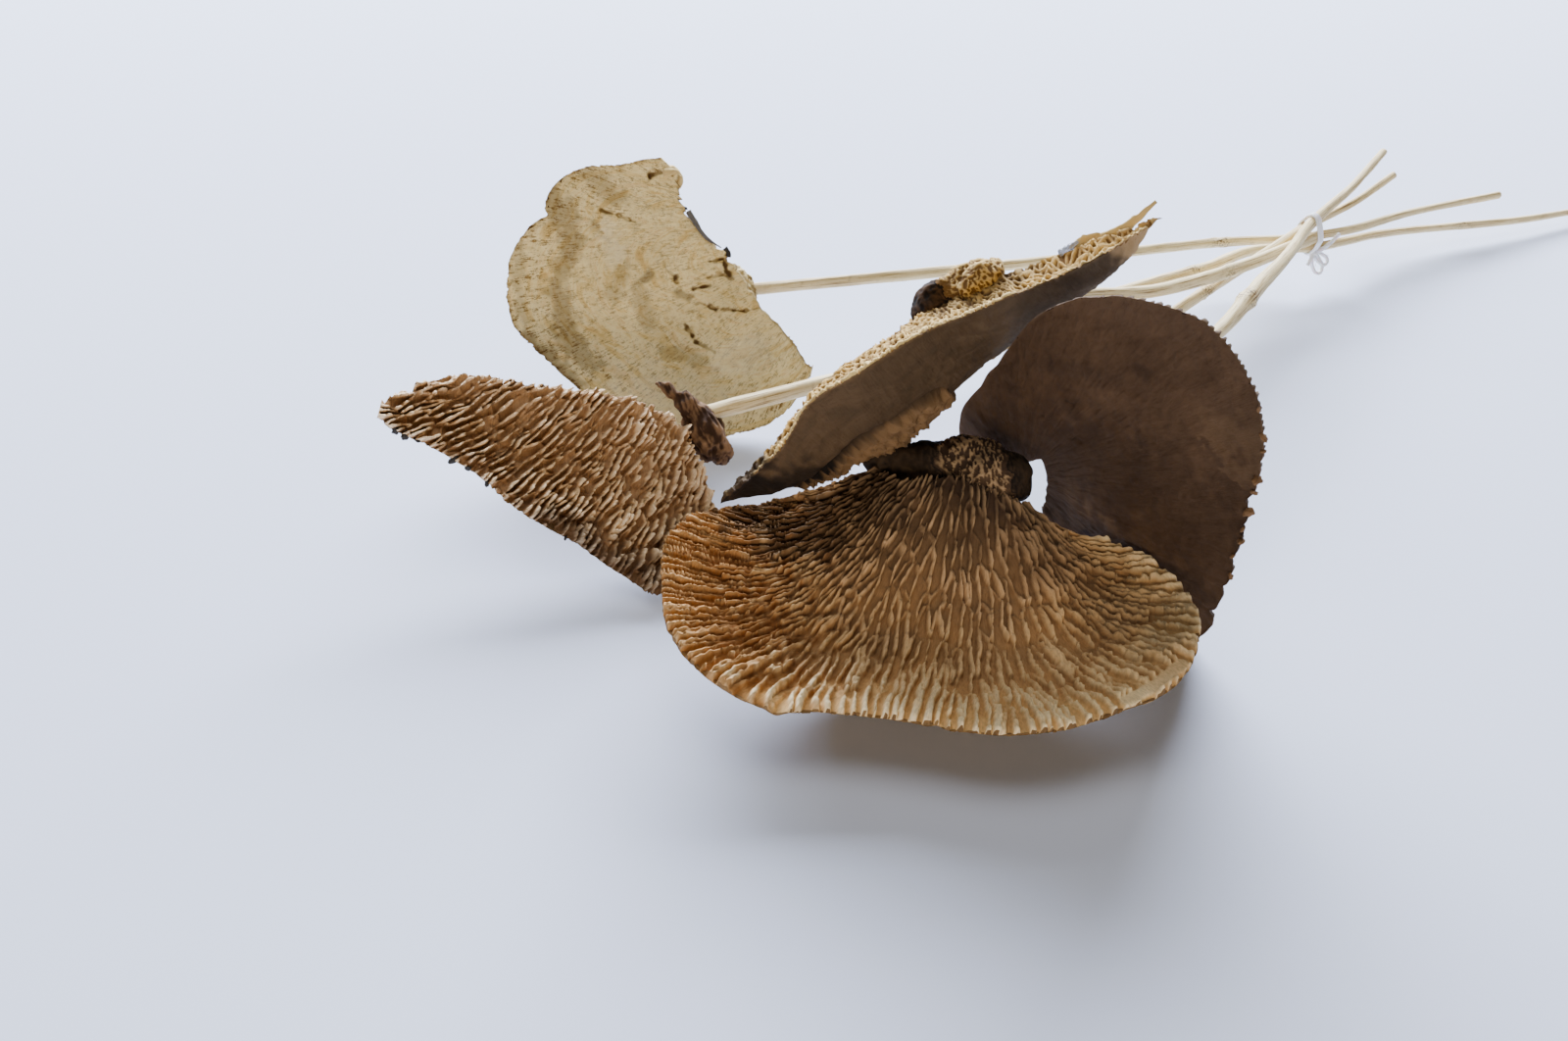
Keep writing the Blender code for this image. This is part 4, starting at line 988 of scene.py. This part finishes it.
def skin_flesh(name, zones, streak, edge, dark, pale, zone_width=7.0, mottled=0.5):
    """A dried bracket's upper skin, grown in zones and weathered.

    Matt and papery. Bands of zone_width mm follow the margin, specks of about 3 mm and short hairs that
    run outwards break them up, and the rim is worn to the flesh's colour. Cracks and the groove beside the
    rough strip are painted dark as shade in them, and the dark and pale patches are real stains and fading,
    and on some caps painted shade and painted light."""
    material, tree, shader = new_material(name, 0.88, 0.2)
    [grown] = read(tree, "Vector", "grown")
    torn, stain = read(tree, "Fac", "torn", "stain")
    coords = add(tree, "TexCoord").outputs["Object"]
    inward = add(tree, "SeparateXYZ", {0: grown}).outputs[1]
    bands = add(tree, "Mapping", {"Vector": grown, "Scale": (0.05, 1 / zone_width, 0.0)}).outputs["Vector"]
    band = add(tree, "TexNoise", {"Vector": bands, "Scale": 1.0, "Detail": 6.0, "Roughness": 0.7,
                                  "Distortion": 0.9})
    ground = add(tree, "ValToRGB", {"Fac": band.outputs["Fac"]}, stops=zones).outputs["Color"]
    hairs = add(tree, "Mapping", {"Vector": grown, "Scale": (1.1, 0.22, 0.0)}).outputs["Vector"]
    hair = add(tree, "TexNoise", {"Vector": hairs, "Scale": 1.0, "Detail": 7.0, "Roughness": 0.75})
    mottle = add(tree, "TexNoise", {"Vector": coords, "Scale": 1 / (2.6 * MM), "Detail": 8.0,
                                    "Roughness": 0.85})
    uneven = add(tree, "Mix", {0: 0.5, 2: hair.outputs["Fac"], 3: mottle.outputs["Fac"]}).outputs[0]
    outer = add(tree, "MapRange", {"Value": inward, "From Min": 2.0, "From Max": 30.0,
                                   "To Min": 1.0, "To Max": 0.6}).outputs["Result"]
    speck = add(tree, "MapRange", {"Value": uneven, "From Min": 0.51, "From Max": 0.56,
                                   "To Min": 0.0, "To Max": mottled}).outputs["Result"]
    share = add(tree, "Math", {0: speck, 1: outer}, operation="MULTIPLY").outputs[0]
    rim = add(tree, "MapRange", {"Value": inward, "From Min": 0.6, "From Max": 2.6,
                                 "To Min": 0.8, "To Max": 0.0}).outputs["Result"]
    broken = add(tree, "MapRange", {"Value": mottle.outputs["Fac"], "From Min": 0.42, "From Max": 0.55,
                                    "To Min": 0.15, "To Max": 1.0}).outputs["Result"]
    worn = add(tree, "Math", {0: rim, 1: broken}, operation="MULTIPLY").outputs[0]
    faded_and_lit = add(tree, "Math", {0: stain, 1: -1.0}, operation="MULTIPLY", use_clamp=True).outputs[0]
    # Darker patches are stains and painted shade, paler ones fading and painted light.
    for much, colour in ((share, streak), (worn, edge), (torn, edge), (stain, dark), (faded_and_lit, pale)):
        ground = add(tree, "Mix", {0: much, 6: ground, 7: srgb(colour)}, data_type="RGBA").outputs[2]
    blotch = add(tree, "TexNoise", {"Vector": coords, "Scale": 1 / (22 * MM), "Detail": 5.0})
    lit = add(tree, "MapRange", {"Value": blotch.outputs["Fac"], "From Min": 0.3, "From Max": 0.7,
                                 "To Min": 0.86, "To Max": 1.12}).outputs["Result"]
    shade = add(tree, "HueSaturation", {"Value": lit, "Color": ground}).outputs["Color"]
    surface(tree, shader, shade, uneven, 0.8, 0.9)
    return material


def old_wood(name, dark, light):
    """Dried woody foot, torn from its tree.

    Dull, painted darker in its furrows as shade and light brown on its ridges, partly dust and partly a
    painted highlight, in lumps of 3 mm with 1 mm grit."""
    material, tree, shader = new_material(name, 0.85, 0.15)
    coords = add(tree, "TexCoord").outputs["Object"]
    [crest] = read(tree, "Fac", "crest")
    lumps = add(tree, "TexNoise", {"Vector": coords, "Scale": 1 / (3 * MM), "Detail": 6.0, "Roughness": 0.7})
    # Lighter on the feet's ridges and darker in their furrows: dust, with painted highlight and painted
    # shade.
    dust_and_ridge_light = add(tree, "Mix", {0: 0.35, 2: crest, 3: lumps.outputs["Fac"]}).outputs[0]
    ground = add(tree, "ValToRGB", {"Fac": dust_and_ridge_light}, stops=[(0.36, dark), (0.74, light)]).outputs["Color"]
    fine = add(tree, "TexNoise", {"Vector": coords, "Scale": 1 / (1.1 * MM), "Detail": 6.0})
    surface(tree, shader, ground, fine.outputs["Fac"], 0.6, 0.4)
    return material


def peeled_wood(name):
    """Peeled willow, dried in air.

    Cream sapwood with a faint satin gloss. Grey-brown grain lines run the twig's length, drawn about
    twice as wide as real so that they show, with small flecks and dark fissures at the knots."""
    material, tree, shader = new_material(name, 0.62, 0.35)
    [grain], [knot] = read(tree, "Vector", "grain"), read(tree, "Fac", "knot")
    long = add(tree, "Mapping", {"Vector": grain, "Scale": (1.5, 1.5, 0.04)}).outputs["Vector"]
    lines = add(tree, "TexNoise", {"Vector": long, "Scale": 1.0, "Detail": 6.0, "Roughness": 0.7})
    ground = add(tree, "ValToRGB", {"Fac": lines.outputs["Fac"]},
                 stops=[(0.36, "86683A"), (0.43, "D0B67E"), (0.53, "EEDCAC"), (0.60, "DEC890"),
                        (0.68, "A0824C")]).outputs["Color"]
    fleck = add(tree, "TexNoise", {"Vector": grain, "Scale": 0.35, "Detail": 3.0})
    spots = add(tree, "MapRange", {"Value": fleck.outputs["Fac"], "From Min": 0.60, "From Max": 0.75,
                                   "To Min": 0.0, "To Max": 0.35}).outputs["Result"]
    spotted = add(tree, "Mix", {0: spots, 6: ground, 7: srgb("9A8158")}, data_type="RGBA").outputs[2]
    rough = add(tree, "TexNoise", {"Vector": grain, "Scale": 1.2, "Detail": 5.0})
    fissures = add(tree, "MapRange", {"Value": rough.outputs["Fac"], "From Min": 0.45,
                                      "From Max": 0.62}).outputs["Result"]
    dark = add(tree, "Math", {0: knot, 1: fissures}, operation="MULTIPLY").outputs[0]
    aged = add(tree, "Mix", {0: dark, 6: spotted, 7: srgb("5E4628")}, data_type="RGBA").outputs[2]
    surface(tree, shader, aged, lines.outputs["Fac"], 0.35, 0.3)
    return material


def cotton_string():
    """Bleached cotton string, twisted from three strands.

    White and without gloss, painted bluish grey between the strands as shade in them, with a nap of fine
    fibres."""
    material, tree, shader = new_material("cotton_string", 0.95, 0.1)
    shader.inputs["Subsurface Weight"].default_value = 0.15
    shader.inputs["Subsurface Scale"].default_value = 1.5 * MM
    [strand], [lay] = read(tree, "Fac", "strand"), read(tree, "Vector", "lay")
    # The bluish grey where the strands meet is painted shade.
    ground = add(tree, "ValToRGB", {"Fac": strand}, stops=[(0.0, "DCE2EE"), (0.4, "FCFDFF")]).outputs["Color"]
    fibres = add(tree, "TexNoise", {"Vector": lay, "Scale": 6.0, "Detail": 3.0})
    surface(tree, shader, ground, fibres.outputs["Fac"], 0.5, 0.1)
    return material


def dried_glue():
    """Hot-melt glue, set where it was dabbed on.

    Grey and half clear, with the only gloss on the bunch and ripples of 1.5 mm."""
    material, tree, shader = new_material("dried_hot_glue", 0.22, 0.5)
    shader.inputs["Base Color"].default_value = srgb("B4BAC6")
    shader.inputs["Transmission Weight"].default_value = 0.55
    shader.inputs["IOR"].default_value = 1.48
    coords = add(tree, "TexCoord").outputs["Object"]
    lumps = add(tree, "TexNoise", {"Vector": coords, "Scale": 1 / (1.5 * MM), "Detail": 3.0})
    surface(tree, shader, None, lumps.outputs["Fac"], 0.6, 0.4)
    return material


# Studio

def camera():
    data = bpy.data.cameras.new("camera")
    data.lens, data.sensor_width, data.clip_start = LENS, SENSOR, 0.01
    eye = bpy.data.objects.new("camera", data)
    bpy.context.scene.collection.objects.link(eye)
    eye.location = (np.array([0.0, -CAMERA_BACK, CAMERA_HEIGHT]) - ORIGIN) * MM
    eye.rotation_euler = (math.radians(90.0 - CAMERA_DOWN), 0.0, 0.0)
    bpy.context.scene.camera = eye


def soft_light(name, place, width, height, power, colour="FFFFFF"):
    data = bpy.data.lights.new(name, "AREA")
    data.shape, data.size, data.size_y, data.energy = "RECTANGLE", width, height, power
    data.color = srgb(colour)[:3]
    lamp = bpy.data.objects.new(name, data)
    bpy.context.scene.collection.objects.link(lamp)
    lamp.location = place
    lamp.rotation_euler = Vector(place).to_track_quat("Z", "Y").to_euler()


def studio():
    deselect()
    bpy.ops.mesh.primitive_plane_add(size=FLOOR_SIZE)
    floor = bpy.context.object
    floor.name = "floor"
    # Uncoated paper: matt, a pale cool grey that takes soft shadows
    material, _, shader = new_material("pale_backdrop_paper", 0.9, 0.1)
    shader.inputs["Base Color"].default_value = srgb("DDE6FB")
    floor.data.materials.append(material)
    world = bpy.data.worlds.new("studio")
    world.use_nodes = True
    world.node_tree.nodes["Background"].inputs[0].default_value = srgb("FFF6EC")
    world.node_tree.nodes["Background"].inputs[1].default_value = 0.03
    bpy.context.scene.world = world
    soft_light("ceiling", (-0.15, 0.10, 1.40), 1.0, 1.0, 8.0, "FFFDFA")
    soft_light("window", (-0.15, 1.80, 0.98), 2.4, 0.9, 296.0, "EAF0FF")
    soft_light("room", (-0.10, -1.70, 0.32), 2.0, 0.5, 17.0, "FFE9CC")


def main():
    camera()
    studio()
    flesh = {
        "cap_front": pore_flesh(
            "rust_brown_gill_flesh",
            [(0.0, "42342A"), (0.30, "866A4C"), (0.7, "B88E5E"), (1.0, "DCB67C")],
            [(0.0, "A48C6C"), (0.30, "D0AE86"), (0.70, "E8C692"), (1.0, "FAE6B8")], "4A3828"),
        "cap_left": pore_flesh(
            "tan_maze_flesh",
            [(0.0, "B4926C"), (1.0, "9E7A56")],
            [(0.0, "EACEA8"), (0.5, "EED0A4"), (1.0, "F0D4AA")], "4C3828"),
        "cap_back": pore_flesh(
            "pale_gill_flesh", [(0.0, "4E3A22"), (1.0, "5E4728")], [(0.0, "9E7E50"), (1.0, "C4A473")]),
        "cap_middle": pore_flesh(
            "sponge_gill_flesh", [(0.0, "745630"), (1.0, "8A6838")], [(0.0, "CCA866"), (1.0, "F2D692")]),
        "cap_right": pore_flesh(
            "umber_gill_flesh", [(0.0, "2A1E15"), (1.0, "3A2A1E")], [(0.0, "5A4836"), (1.0, "6A5844")]),
    }
    skins = {
        "cap_front": skin_flesh(
            "rust_brown_cap_skin", [(0.3, "6A5032"), (0.5, "8A6B44"), (0.7, "A58759")],
            "5A4128", "8A6A40", "3A2A1C", "B89A68"),
        "cap_left": skin_flesh(
            "tan_cap_skin", [(0.3, "7A5F3E"), (0.5, "9C7E54"), (0.7, "B2966A")],
            "5E4528", "B09468", "4A3824", "C8AE80"),
        # These pale tones are partly the skin's own tan and partly painted light: the cap leans back from the
        # lamps, so its colour is raised to look lit.
        "cap_back": skin_flesh(
            "pale_cap_skin", [(0.32, "D6B470"), (0.42, "EED490"), (0.52, "FAE8AE"), (0.60, "F0D698"),
                              (0.70, "DCBC7C")],
            "80602E", "8A7040", "5C4426", "FAEEC6", zone_width=6.0, mottled=1.0),
        # The underside's umber is partly its own tone and partly painted shade, as it faces away from the
        # lamps; its near black is painted shade in the groove and at the tip.
        "cap_middle": skin_flesh(
            "umber_underside_skin", [(0.3, "4C3E2B"), (0.5, "5A4833"), (0.7, "66543D")],
            "4A3826", "90724E", "17120E", "C4A272"),
        # These umber tones are partly the skin's own colour and partly painted shade, as this face is turned
        # away from the lamps.
        "cap_right": skin_flesh(
            "dark_umber_cap_skin", [(0.3, "4F3B2A"), (0.5, "594431"), (0.7, "614B37")],
            "3E2E20", "6A5440", "281C14", "967A58", zone_width=22.0, mottled=0.35),
    }
    feet = {
        "cap_front": old_wood("black_brown_foot", "26201C", "4A3C2E"),
        "cap_left": old_wood("chocolate_brown_foot", "38261A", "84664A"),
        "cap_back": skins["cap_back"],
        "cap_middle": old_wood("black_brown_hub", "16100C", "523A24"),
        "cap_right": skins["cap_right"],
    }
    peeled = peeled_wood("peeled_willow")
    for name, cap in CAPS.items():
        grow_cap(name, cap, flesh[name], skins[name])
        woody_foot(name, cap, FEET[name], feet[name], flesh[name])
    for n, (name, twig) in enumerate(TWIGS.items()):
        dress(peel_twig(f"{name}_wood", twig, 71 + n), name, name, peeled)
    for n, (name, (route, wide, thick)) in enumerate(SPLINTERS.items()):
        dress(splinter(name, route, wide, thick, 91 + n), None, "cap_middle", flesh["cap_middle"])
    dress(splinter("glue_drop", *GLUE, 97), None, "cap_middle", dried_glue())
    torn_flesh = pore_flesh(
        "torn_cap_flesh", [(0.0, "B89A5C"), (1.0, "C4A668")], [(0.0, "E2C684"), (1.0, "EED496")])
    bark = old_wood("grey_bark_crumbs", "3C3A38", "76726C")
    for (name, (route, wide, thick)), material in zip(BACK_SPLINTERS.items(), (torn_flesh, bark)):
        route = placed(CAPS["cap_back"], np.array(route)) + ORIGIN
        dress(splinter(name, route, wide, thick, 95), None, "cap_back", material)
    curled = old_wood("curled_gill_edge", "7A5E42", "D8BC90")
    for name, (edge, crumbs) in CRUMBS.items():
        bark_crumbs(name, CAPS[name], edge, crumbs, curled if name == "cap_right" else bark)
    tie_string(cotton_string())


main()
